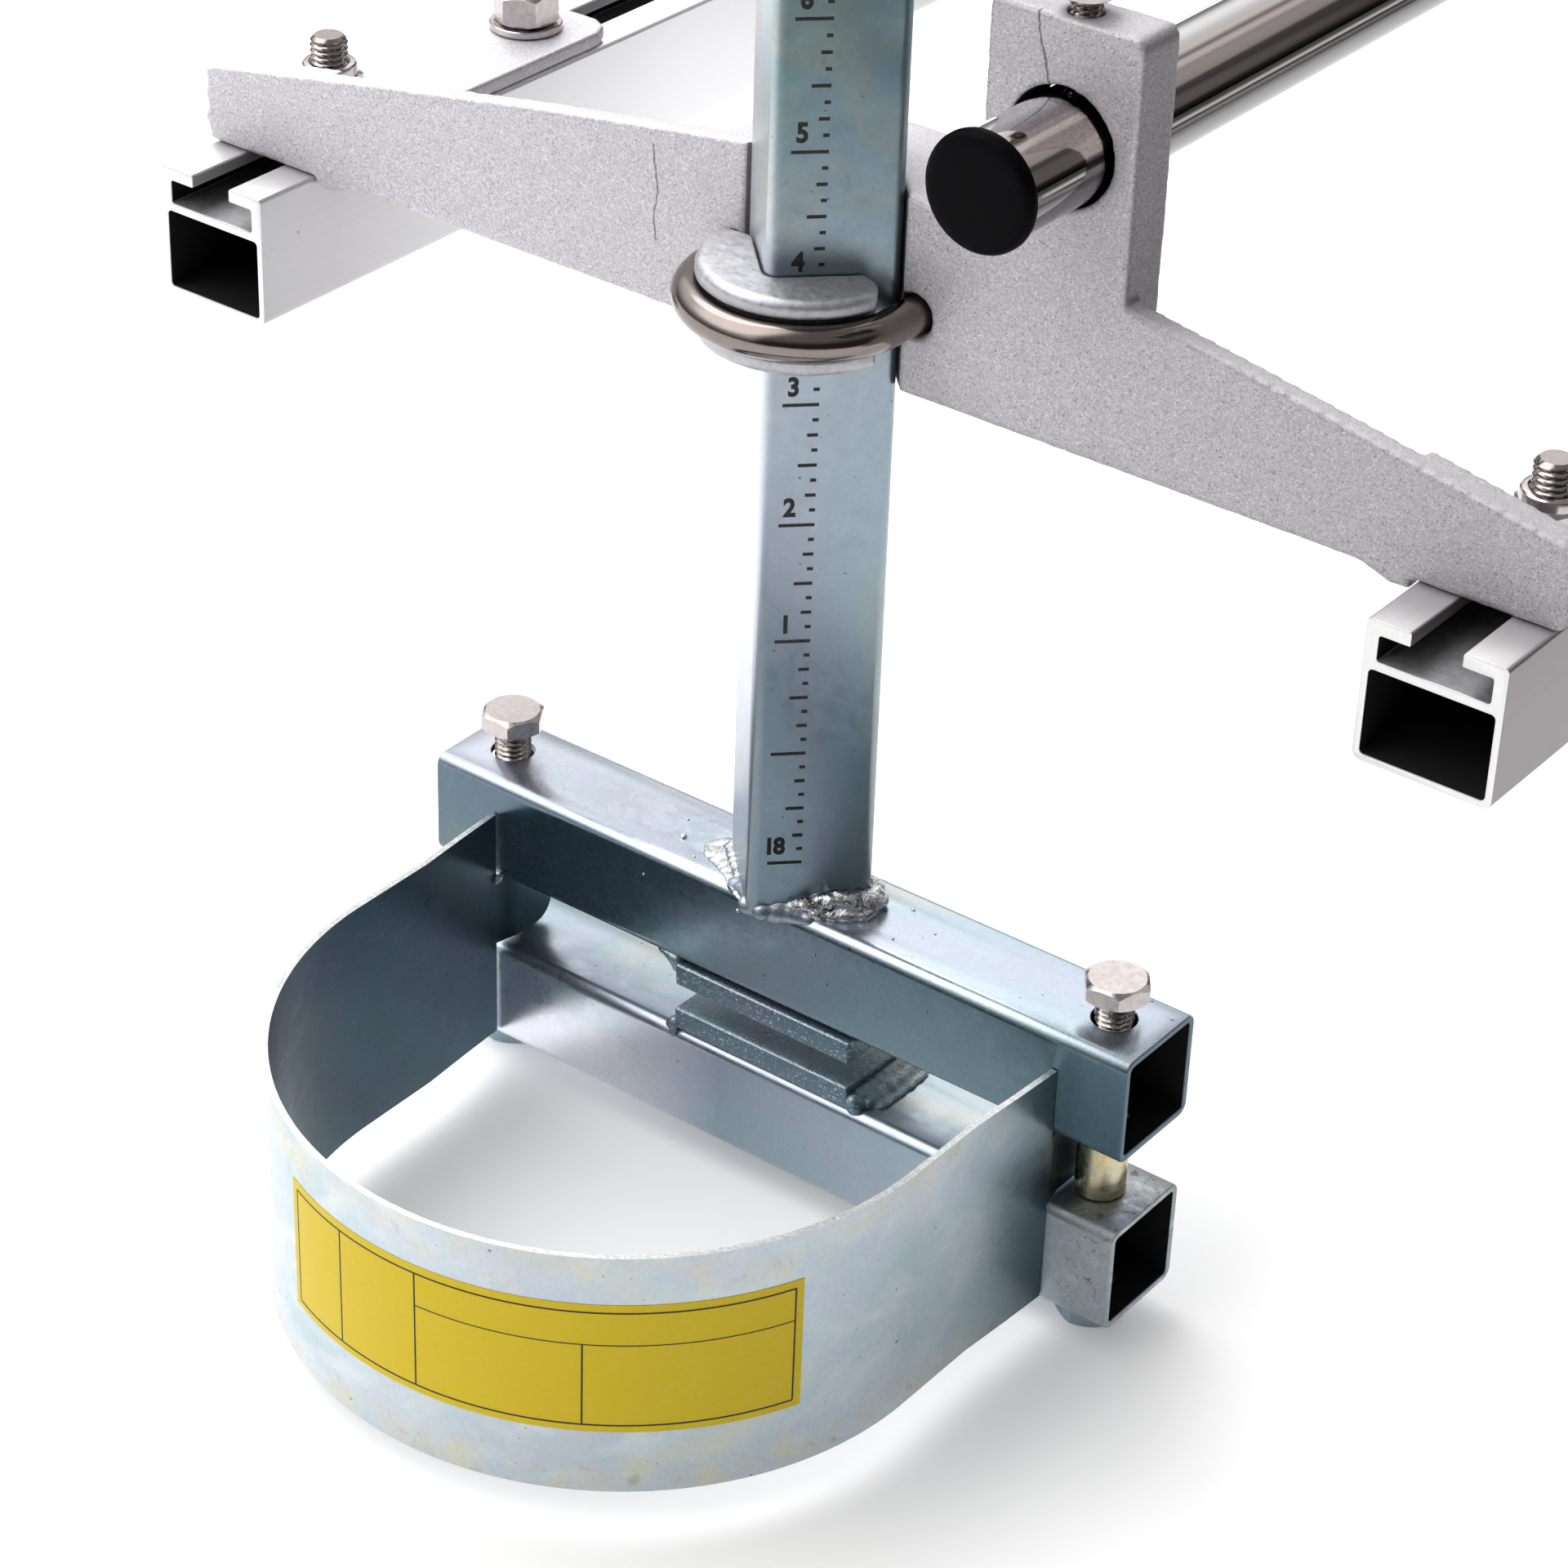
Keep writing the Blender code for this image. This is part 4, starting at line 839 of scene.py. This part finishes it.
def pad_welds(end, body, jaw, low):
    """Welds at the pads' ends: a drip at the upper pad's left, a broad fillet at the lower pad's right."""
    top = -TUBE - 0.4
    upper = [
        [(-22.7, -10.4, top - 1.8, 1.5, 1), (-23.2, -10.4, top - 0.2, 1.7, 1),
         (-25.2, -10.5, top + 0.3, 1.2, 1), (-27.4, -10.4, top + 0.6, 0.8, 1)],
        [(-22.9, -9, top - 0.6, 1.5, 1), (-22.9, 9, top - 0.4, 1.4, 1)],
        [(22.7, -8, top - 0.4, 1.3, 1), (22.7, 8, top - 0.4, 1.3, 1)],
    ]
    lower = [
        [(-22.9, -11, low + 1.2, 1.5, 1), (-23.2, -10.8, low + 0.2, 1.5, 1), (-24.6, -11, low - 0.1, 0.9, 1)],
        [(-22.7, -11.6, low + 0.4, 1.1, 1), (-22.6, -12, low - 1.2, 0.8, 1)],
        [(-22.9, -9, low + 0.6, 1.3, 1), (-22.8, 8, low + 0.6, 1.3, 1)],
        [(22.8, -10.4, low + 1.8, 1.9, 1), (23.4, -10.2, low + 0.6, 2.0, 1)],
        [(22.8, -8, low + 2.0, 1.9, 1), (22.8, 9, low + 1.9, 1.9, 1)],
        [(24.3, -7.5, low + 0.7, 2.3, 0.8), (24.6, 0, low + 0.8, 2.5, 0.8), (24.4, 8, low + 0.7, 2.3, 0.8)],
        [(26.3, -6, low + 0.1, 2.0, 0.5), (26.8, 1, low + 0.1, 2.2, 0.5), (26.4, 8, low + 0.1, 2.0, 0.5)],
    ]
    piece(end + "_upper_pad_weld", melt(upper, 0.36, 6, (1.8, 0.06)), spot(end), "film", body, sharp=80)
    piece(end + "_lower_pad_weld", melt(lower, 0.36, 10, (1.8, 0.08)), spot(end), "pad", jaw, sharp=80)


def post_weld(end, body):
    """A film round the post's foot, a glossy run that swells to the right, and a flat splash at the left."""
    corner = POST_EDGE - 1

    def right(share, out, z, radius, flat=1.0):
        x, y = corner * share, -corner * (1 - share)
        return (x + 0.707 * out, y - 0.707 * out, z, radius, flat)

    def left(share, out, z, radius, flat=1.0):
        x, y, z, radius, flat = right(share, out, z, radius, flat)
        return (-x, y, z, radius, flat)

    film = [
        [right(0, -2.5, 0.5, 2.0), right(0.2, -1.0, 0.6, 2.4), right(0.45, -0.5, 0.3, 2.6),
         right(0.75, -0.6, 0.1, 2.2), right(1, -0.6, 0.1, 2.0)],
        [left(0, -2.5, 0.5, 2.0), left(0.25, -1.3, 0.7, 2.1), left(0.6, -1.0, 0.2, 2.0),
         left(1, -1.0, 0.2, 1.8)],
        [(-9, -10.2, -0.4, 1.7, 1), (-5, -11.2, -0.1, 2.3, 1), (-1, -12.9, 0.1, 2.7, 1),
         (2.5, -12.6, 0.1, 2.9, 1), (6, -11.2, -0.1, 2.3, 1), (10, -10.4, -0.5, 1.5, 1)],
        [(corner, 0, 0.2, 2.5, 1), (corner / 2, corner / 2, 0.2, 2.2, 1), (0, corner, 0.2, 2.0, 1)],
        [(-corner, 0, 0.2, 2.0, 1), (-corner / 2, corner / 2, 0.2, 2.2, 1), (0, corner, 0.2, 2.0, 1)],
    ]
    run = [
        [right(0.34, 0.2, 1.6, 1.4, 0.9), right(0.5, 0.5, 2.2, 2.3, 0.9), right(0.68, 0.7, 2.5, 3.1, 0.85),
         right(0.9, 0.8, 2.5, 3.3, 0.85), right(1.03, 0.5, 2.4, 3.0, 0.9), (corner + 0.9, 2.2, 1.6, 2.3, 0.9),
         (corner - 2.6, 6.2, 1.0, 1.7, 0.9)],
        [right(0.56, 2.0, 0.7, 1.9, 0.8), right(0.8, 2.7, 0.8, 2.5, 0.7), right(1.0, 2.5, 0.8, 2.3, 0.7)],
    ]
    splash = [
        [left(0.15, 0.6, 0.1, 0.9, 0.5), left(0.4, 1.4, 0.1, 1.6, 0.3), left(0.7, 2.0, 0.1, 2.3, 0.2),
         left(0.98, 2.5, 0.1, 2.7, 0.17)],
        [left(0.4, 0.4, 0.4, 1.0, 0.9), left(0.7, 0.5, 0.5, 1.4, 0.8), left(0.98, 0.6, 0.5, 1.7, 0.7)],
        [left(0.7, 2.8, 0.1, 1.4, 0.2), (-19.2, -4.6, 0.1, 1.9, 0.18), (-20.8, -2.2, 0.1, 2.0, 0.16),
         (-19.4, 0.8, 0.1, 1.8, 0.3)],
    ]
    film, run = melt(film, 0.35, 12, (3, 0.12), (1.1, 0.06)), melt(run, 0.3, 4, (3.4, 0.5), (1.6, 0.16))
    piece(end + "_foot_film", film, spot(end), "film", body, sharp=80)
    piece(end + "_foot_weld", run, spot(end), "weld", body, sharp=80)
    piece(end + "_weld_splash", melt(splash, 0.25, 6, (3, 0.09)), spot(end), "splash", body, sharp=80)
    top = (
        (-27.6, -3.4, 0.8), (-31, 2.4, 0.35), (-21.4, -7.8, 0.4), (27.5, -5.8, 0.35), (24.6, 5.2, 0.4),
        (33, 1, 0.28),
    )
    front = ((-6.5, -4.6, 0.5), (13, -7, 0.3), (-31, -6.2, 0.3))
    drops = [ball(x, y, 0.15 * r, r, 0.8) for x, y, r in top]
    drops += [ball(x, -TUBE / 2 - 0.1 * r, z, r, 0.9) for x, z, r in front]
    piece(end + "_weld_spatter", together(*drops), spot(end), "weld", body, sharp=80)


def digits(text, size):
    curve = bpy.data.curves.new("digits", "FONT")
    curve.body = text
    curve.size = size
    curve.align_x = "CENTER"
    curve.extrude = 0.02
    curve.offset = 0.2
    curve.space_character = 0.86
    curve.resolution_u = 4
    obj = added("digits", curve)
    mesh = bpy.data.meshes.new_from_object(obj.evaluated_get(bpy.context.evaluated_depsgraph_get()))
    bpy.data.objects.remove(obj)
    mesh.transform(Matrix.Rotation(math.pi / 2, 4, "X") @ Matrix.Diagonal((0.88, 1, 1, 1)))
    return mesh


def scale(end, body):
    """An inch scale printed on one face of the post: u runs from the front corner, z up."""
    right, first, inch = 10.8, 12.2, 25.4
    lengths = {0: 6.9, 4: 3.6, 2: 2.05, 6: 2.05}
    marks = []
    for eighth in range(8 * 13 + 1):
        z = first + eighth * inch / 8
        if z < POST_TOP - 4:
            half = 0.33 if eighth % 8 else 0.32
            left = right - lengths.get(eighth % 8, 1.15)
            line = [(left, z - half), (right, z - half), (right, z + half), (left, z + half)]
            marks.append(prism(line, 0, 0.04, "Y"))
    marks.append(moved(digits("18", 5.3), 5.2, 0.02, first + 2.2))
    for number in range(1, 12):
        marks.append(moved(digits(str(number), 5.3), 5.9, 0.02, first + (number + 1) * inch + 2.0))
    mesh = together(*marks)
    lay = Matrix.Translation((0, -POST_EDGE, 0)) @ Matrix.Rotation(math.radians(45), 4, "Z")
    mesh.transform(lay @ Matrix.Translation((0, -0.05, 0)))
    piece(end + "_inch_scale", mesh, spot(end), "ink", body)


def arc_patch(from_deg, to_deg, z0, z1, r0, r1, steps):
    """A closed curved plate round the guard's centre."""
    rings = []
    for k in range(steps + 1):
        a = math.radians(from_deg + (to_deg - from_deg) * k / steps)
        x, y = math.sin(a), -math.cos(a)
        rings.append([(r * x, GUARD_Y + r * y, z) for r, z in ((r0, z0), (r1, z0), (r1, z1), (r0, z1))])
    return skin(rings, capped=True)


def guard():
    """The bent strip, with tongues between the tubes, a soft lower corner on each and a worn rim."""
    face = -TUBE / 2 - 0.3

    def line(inset):
        radius = GUARD_R - inset
        angles = [math.pi * k / 144 for k in range(73)]
        arc = [(radius * math.sin(a), GUARD_Y - radius * math.cos(a)) for a in angles]
        legs = [(70.5, -36), (71.4, -24), (72.1, face), (71.5, -9.5), (70.8, -7), (70.8, 4.2)]
        return arc + [(x - inset, y) for x, y in legs]

    outer, inner = line(0), line(GUARD_SHEET)
    loop = outer + inner[::-1] + [(-x, y) for x, y in inner[1:]] + [(-x, y) for x, y in outer[:0:-1]]
    strip = prism(loop, -63.4, -8)
    over = [(face, -TUBE - 0.3), (99, -TUBE - 0.3), (99, 99), (face, 99)]
    sole = -TUBE - SPACE + 0.6
    quarter = [k * math.pi / 20 for k in range(11)]
    bow = [(-0.8 + 5 * math.sin(a), sole + 5 - 5 * math.cos(a)) for a in quarter]
    under = [(face, -99), (face, sole)] + bow + [(99, sole + 5), (99, -99)]
    mesh = cut(strip, prism(over, -99, 99, "X"), prism(under, -99, 99, "X"))
    return softened(mesh, 0.22, 2, 50)


def guard_inside(face):
    c = face.center
    if c.y > GUARD_Y:
        return face.normal.x * c.x < -0.5 * abs(c.x)
    return face.normal.dot(Vector((-c.x, GUARD_Y - c.y, 0)).normalized()) > 0.5


def guard_rim(face):
    return face.center.z > -8.35 or face.center.z < -63.05


def label():
    """A plain yellow sticker with ruled lines and no words."""
    r = GUARD_R
    sticker = arc_patch(-23.4, 67.4, -48.8, -18.7, r - 0.08, r + 0.1, 90)
    piece("guard_label", sticker, spot("near"), "label", "near_post")
    top, low, middle, line = -20.5, -47.1, -28.0, 0.24
    rules = [(-21.9, 66.0, z - line, z + line / 2, 80) for z in (top, low)]
    rules += [(a - 0.14, a + 0.14, low, top, 2) for a in (-21.9, -9.7, 5.9, 66.0)]
    rules += [(5.9, 66.0, middle - line, middle, 60), (32.9, 33.18, low, middle, 2)]
    rules = [arc_patch(a0, a1, z0, z1, r + 0.05, r + 0.13, steps) for a0, a1, z0, z1, steps in rules]
    piece("guard_label_rules", together(*rules), spot("near"), "ink", "near_post")


def bracket_mesh(end):
    """The casting with soft ragged edges and a sandy skin."""
    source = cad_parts[end + "_bracket"].data.copy()
    source.transform(ENDS[end].inverted())
    if end == "far":
        source.flip_normals()
    quarter = [k * math.pi / 16 for k in range(1, 9)]
    for x, radius, side in ((66.4, 3.2, -1), (33.9, 1.8, 1)):
        low = TOWER_TOP - radius
        block = [(x - side, TOWER_TOP + 1), (x - side, low), (x, low)]
        block += [(x + side * radius * (1 - math.cos(a)), low + radius * math.sin(a)) for a in quarter]
        block += [(x + side * radius, TOWER_TOP + 1)]
        source = cut(source, prism(block, -30, 60, "Y"))
    mesh = remeshed(source, 0.6)
    before = [v.co.copy() for v in mesh.vertices]
    mesh = smoothed(mesh, 3)
    normals = [v.normal.copy() for v in mesh.vertices]
    for vertex, old, normal in zip(mesh.vertices, before, normals):
        edge = min((vertex.co - old).length / 0.12, 1.0)
        tip = 1 + 2.2 * min(max((abs(vertex.co.x) - 154) / 3, 0), 1)
        ragged = noise.noise(vertex.co / 2.6) * 0.2 * tip + noise.noise(vertex.co / 0.9) * 0.08 - 0.04
        ragged += 0.14 * (tip - 1) * (math.sin(TAU * vertex.co.z / 5.2) - 0.4)
        skin_wave = noise.noise(vertex.co / 9) * 0.05 + noise.noise(vertex.co / 1.4) * 0.02
        vertex.co += normal * (ragged * edge + skin_wave)
    mesh.update()
    return mesh


def in_recess(face):
    """The flanks that the post's back corner lies between, painted dark as shade."""
    c = face.center
    return abs(c.x) < 19 and FACE_Y + 0.4 < c.y < 22 and face.normal.y < 0.2 and abs(face.normal.x) > 0.5


def saddle_mesh():
    """A half disc with a round groove for the rod in its rim and a V in its back for the post's corner."""
    flat, edge, groove, centre, radius, back = 7.6, 1.8, 4.6, 21.6, 20.1, 0.9
    quarter = [k * math.pi / 16 for k in range(9)]
    lip = [(radius - edge + edge * math.sin(a), -flat + edge - edge * math.cos(a)) for a in quarter]
    begin = math.acos((centre - radius) / groove)
    turns = [math.pi + begin - 2 * begin * k / 14 for k in range(15)]
    trough = [(centre + groove * math.cos(a), groove * math.sin(a)) for a in turns]
    trough.sort(key=lambda p: p[1])
    upper = [(r, -z) for r, z in reversed(lip)]
    disc = lathe([(0, -flat)] + lip + trough + upper + [(0, flat)], 128)
    side = POST + 0.8
    notch = turned(prism(rounded(rectangle(side, side), 2.8, 8), -60, 60), 45, "Z")
    mesh = cut(disc, prism(rectangle(120, 60, 0, back + 30), -60, 60), moved(notch, 0, -CLAMP_Y))
    wide = radius + 0.05
    plan = rounded([(-wide, -40), (wide, -40), (wide, back), (-wide, back)], [0, 0, 7.5, 3.5], 12)
    mesh = cut(mesh, prism(plan, -20, 20), operation="INTERSECT")
    return roughened(smoothed(remeshed(mesh, 0.3), 3), (2.5, 0.03), (0.9, 0.025), (7, 0.04))


def u_bolt_mesh():
    ends = (9.0, 7.0, 3.0)
    turns = [-math.pi * k / 48 for k in range(49)]
    points = [(ROD_R, y - CLAMP_Y, 0) for y in ends]
    points += [(ROD_R * math.cos(a), ROD_R * math.sin(a), 0) for a in turns]
    points += [(-ROD_R, y - CLAMP_Y, 0) for y in reversed(ends)]
    radii = [3.6] * len(points)
    radii[0] = radii[-1] = 3.9
    rings = [circle(0, 8.4, 1), circle(3.5, 8.4, HEX_STEPS)] + thread_rings(M8, M8_PITCH, 8.6, 39.6)
    leg = turned(skin(rings + [circle(3.1, 40, HEX_STEPS), circle(0, 40, 1)]), -90, "X")
    return together(sweep(points, radii, 32), moved(leg, ROD_R, -CLAMP_Y), moved(leg, -ROD_R, -CLAMP_Y))


def bracket(end):
    body = end + "_bracket"
    # The recess flanks take painted shade.
    recess = (("shade", in_recess),)
    piece(end + "_casting", bracket_mesh(end), ENDS[end], "cast", body, body, sharp=70, inner=recess)
    centre = spot(end, 0, CLAMP_Y, CLAMP_Z)
    piece(end + "_clamp_saddle", saddle_mesh(), centre, "saddle", body, end + "_saddle", sharp=80)
    piece(end + "_u_rod", u_bolt_mesh(), centre, "rod", body, end + "_u_bolt")
    flat = turned(washer(4.3, 8, 1.6), -90, "X")
    fixing = turned(nut(M8_FLATS, M8_NUT, M8_BORE), -90, "X")
    for side, x in (("left", -ROD_R), ("right", ROD_R)):
        for kind, mesh, y in (("washer_", flat, 28.2), ("nut_", fixing, 30.1)):
            at = spot(end, x, y, CLAMP_Z)
            piece(end + "_rod_" + kind + side, mesh, at, "bolt", body, end + "_u_bolt_" + kind + side)
    bolt = turned(hex_bolt(M8, M8_FLATS, 4.4, 24.1, M8_PITCH), 180, "X")
    lock = nut(M8_FLATS, M8_LOCKNUT, M8_BORE, 0.72 * M8_LOCKNUT)
    locking = together(washer(4.3, 8, 1.6), moved(lock, z=1.62))
    for number, (x, y) in enumerate([(x, y) for x in (-RAIL_X, RAIL_X) for y in FOOT_BOLTS_Y], 1):
        tail = str(number)
        at = spot(end, x, y, CASTING_Z - 3.4, 0.3 * number, False)
        piece(end + "_slot_bolt_" + tail, bolt, at, "thread", body, end + "_rail_bolt_" + tail)
        at = spot(end, x, y, CASTING_Z + 3.6, 0.5 * number, False)
        piece(end + "_lock_nut_" + tail, locking, at, "bolt", body, end + "_rail_nut_" + tail)
    small = hex_bolt(3, 10, 4, 16.7, 1.0)
    at = spot(end, HANDLE_X, (FACE_Y + TOWER_BACK) / 2, CASTING_Z + 84.8, 0.2, False)
    piece(end + "_tube_bolt", small, at, "bolt", body, end + "_handle_bolt", inner=(("thread", shank),))


def rail():
    """The extrusion's section, drawn along Y, with its top at z = 0."""
    half, tall, mouth, slot, lip, depth = 13.85, 28.1, 5.0, 11.15, 2.8, 7.8
    side = [(-half, 0), (-half, -tall), (half, -tall), (half, 0)]
    right = [(mouth, 0), (mouth, -lip), (slot, -lip), (slot, -depth)]
    left = [(-a, b) for a, b in reversed(right)]
    radii = [0.9, 1.7, 1.7, 0.9] + [0.5, 0.35, 0.5, 0.6] + [0.6, 0.5, 0.35, 0.5]
    outline = rounded(side + right + left, radii, 5)
    cavity = rounded(rectangle(2 * half - 2.9, 16.95, 0, -18.175), 0.9, 5)
    body = cut(prism(outline, 0, RAIL_LENGTH, "Y"), prism(cavity, -9, RAIL_LENGTH + 9, "Y"))
    return softened(body, 0.22, 2, 60)


def rail_hollow(face):
    c = face.center
    return abs(c.x) < 12.6 and -26.8 < c.z < -9.5 and 0.3 < c.y < RAIL_LENGTH - 0.3


def rail_slot(face):
    c = face.center
    return abs(c.x) < 11.3 and -8.0 < c.z < -0.6 and 0.3 < c.y < RAIL_LENGTH - 0.3


def rail_slot_floor(face):
    return rail_slot(face) and face.normal.z > 0.5


def rail_slot_wall(face):
    return rail_slot(face) and face.normal.z <= 0.5 and abs(face.center.x) > 5.2


def handle():
    """The chrome tube and the domed plugs in its ends."""
    low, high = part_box("handle_tube")
    length = (high.y - low.y) / MM
    inner, r = 8.9, 10.4
    profile = [(inner, 0.3), (inner + 0.3, 0), (r - 0.4, 0), (r, 0.4), (r, length - 0.4), (r - 0.4, length),
               (inner + 0.3, length), (inner, length - 0.3)]
    head, top = 11.4, 3.4
    rim = [(head - 0.5 + 0.5 * math.sin(a), 0.8 - 0.5 * math.cos(a)) for a in (0, 0.5, 1.05, 1.57)]
    dome = [(head - 1.9 + 1.9 * math.cos(a), 1.2 + 1.9 * math.sin(a)) for a in (0.2, 0.5, 0.8, 1.1, 1.35)]
    dome += [(8.5, 3.14), (6, 3.25), (3, 3.35)]
    cap = lathe([(0, -9), (8.0, -9), (8.6, -8.2), (8.6, 0.3)] + rim + dome + [(0, top)], 96)
    x, z = (low.x + high.x) / 2, (low.z + high.z) / 2
    near, far = (Matrix.Translation((x, y, z)) @ Matrix.Scale(MM, 4) for y in (low.y, high.y))
    piece("chrome_handle", turned(lathe(profile, 96), -90, "X"), near, "chrome", "handle", "handle_tube")
    piece("near_tube_cap", turned(cap, 90, "X"), near, "cap", "handle", "handle_cap_near")
    piece("far_tube_cap", turned(cap, -90, "X"), far, "cap", "handle", "handle_cap_far")


def build():
    for end in ("near", "far"):
        clamp(end)
        bracket(end)
    mesh = rail()
    # Painted shade: the rail's hollow and its slot walls are near black, the slot floor darker grey.
    inner = (("dark", rail_hollow), ("groove", rail_slot_floor), ("dark", rail_slot_wall))
    for side, x in (("left", -RAIL_X), ("right", RAIL_X)):
        at = spot("near", x, FACE_Y - 15.5, CASTING_Z - 0.3)
        piece(side + "_slotted_rail", mesh, at, "rail", "rails", "rail_" + side, sharp=40, inner=inner)
    # The guard's inner faces take painted shade, and its rim the worn edge.
    inner = (("inside", guard_inside), ("edge", guard_rim))
    piece("bar_nose_guard", guard(), spot("near"), "guard", "near_post", "nose_guard", inner=inner)
    tacks = [[(x, -12.6, -TUBE - 0.2, 0.9, 1), (x, -11.9, -TUBE + 0.3, 0.8, 1)] for x in (-70.4, 70.4)]
    piece("guard_tacks", melt(tacks, 0.25, 2, (0.9, 0.1)), spot("near"), "film", "near_post", sharp=80)
    label()
    handle()


build()

# Stage and light


def stage():
    mesh = prism(rectangle(4.5, 8, -1.3, 1.5), -0.02, 0)
    made, shader, place = start("floor_white", (0.94, 0.935, 0.94), 0.0, 0.6)
    speck = band(cloud(place, 2.0, 1, 0.3), 0.82, 0.85, 0, 0.35)
    feed(shader, colour=mix(speck, (0.94, 0.935, 0.94), (0.3, 0.3, 0.3)))
    shader.inputs["Emission Color"].default_value = (1, 1, 1, 1)
    shader.inputs["Emission Strength"].default_value = 0.2
    mesh.materials.append(made)
    added("floor", mesh)


def area(name, where, towards, size, power):
    data = bpy.data.lights.new(name, "AREA")
    data.shape = "DISK"
    data.size = size
    data.energy = power
    obj = added(name, data)
    obj.location = where
    obj.rotation_euler = (Vector(towards) - Vector(where)).to_track_quat("-Z", "Y").to_euler()


def sky():
    """A studio: bright to the left and overhead, a softbox high in front on the left, and dark to the right.
    Two soft panels low at the back right show only as bands in the chrome."""
    world = bpy.data.worlds.new("studio")
    bpy.context.scene.world = world
    world.use_nodes = True
    TREE["now"] = world.node_tree
    world.node_tree.nodes.clear()
    ray = node("TexCoord").outputs["Generated"]
    towards = parts(ray)
    side = band(towards["X"], 0.06, -0.16, 0, 1, "SMOOTHSTEP")
    high = band(towards["Z"], 0.04, 0.5, 0.12, 1, "SMOOTHSTEP")
    level = calc("MULTIPLY", calc("MULTIPLY", side, high), 1.35)
    level = calc("ADD", level, band(towards["Z"], 0.25, 0.7, 0.04, 0.3, "SMOOTHSTEP"))
    for centre, edge, full, power in (
        ((-0.47, -0.4, 0.787), 0.8, 0.93, 1.3), ((0.37, 0.69, 0.62), 0.945, 0.965, 0.19),
        ((0.72, 0.68, 0.14), 0.972, 0.985, 0.045),
    ):
        panel = band(vector("DOT_PRODUCT", ray, centre), edge, full, 0, power, "SMOOTHSTEP")
        level = calc("ADD", level, panel)
    strength = calc("MAXIMUM", level, node("LightPath").outputs["Is Camera Ray"])
    back = node("Background", {"Color": (1, 1, 1, 1), "Strength": strength})
    node("OutputWorld", {"Surface": back.outputs[0]})


stage()
sky()
area("key", (-0.9, 0.3, 1.6), (0, -0.15, 0.12), 1.2, 9)
bpy.context.scene.view_settings.view_transform = "Standard"
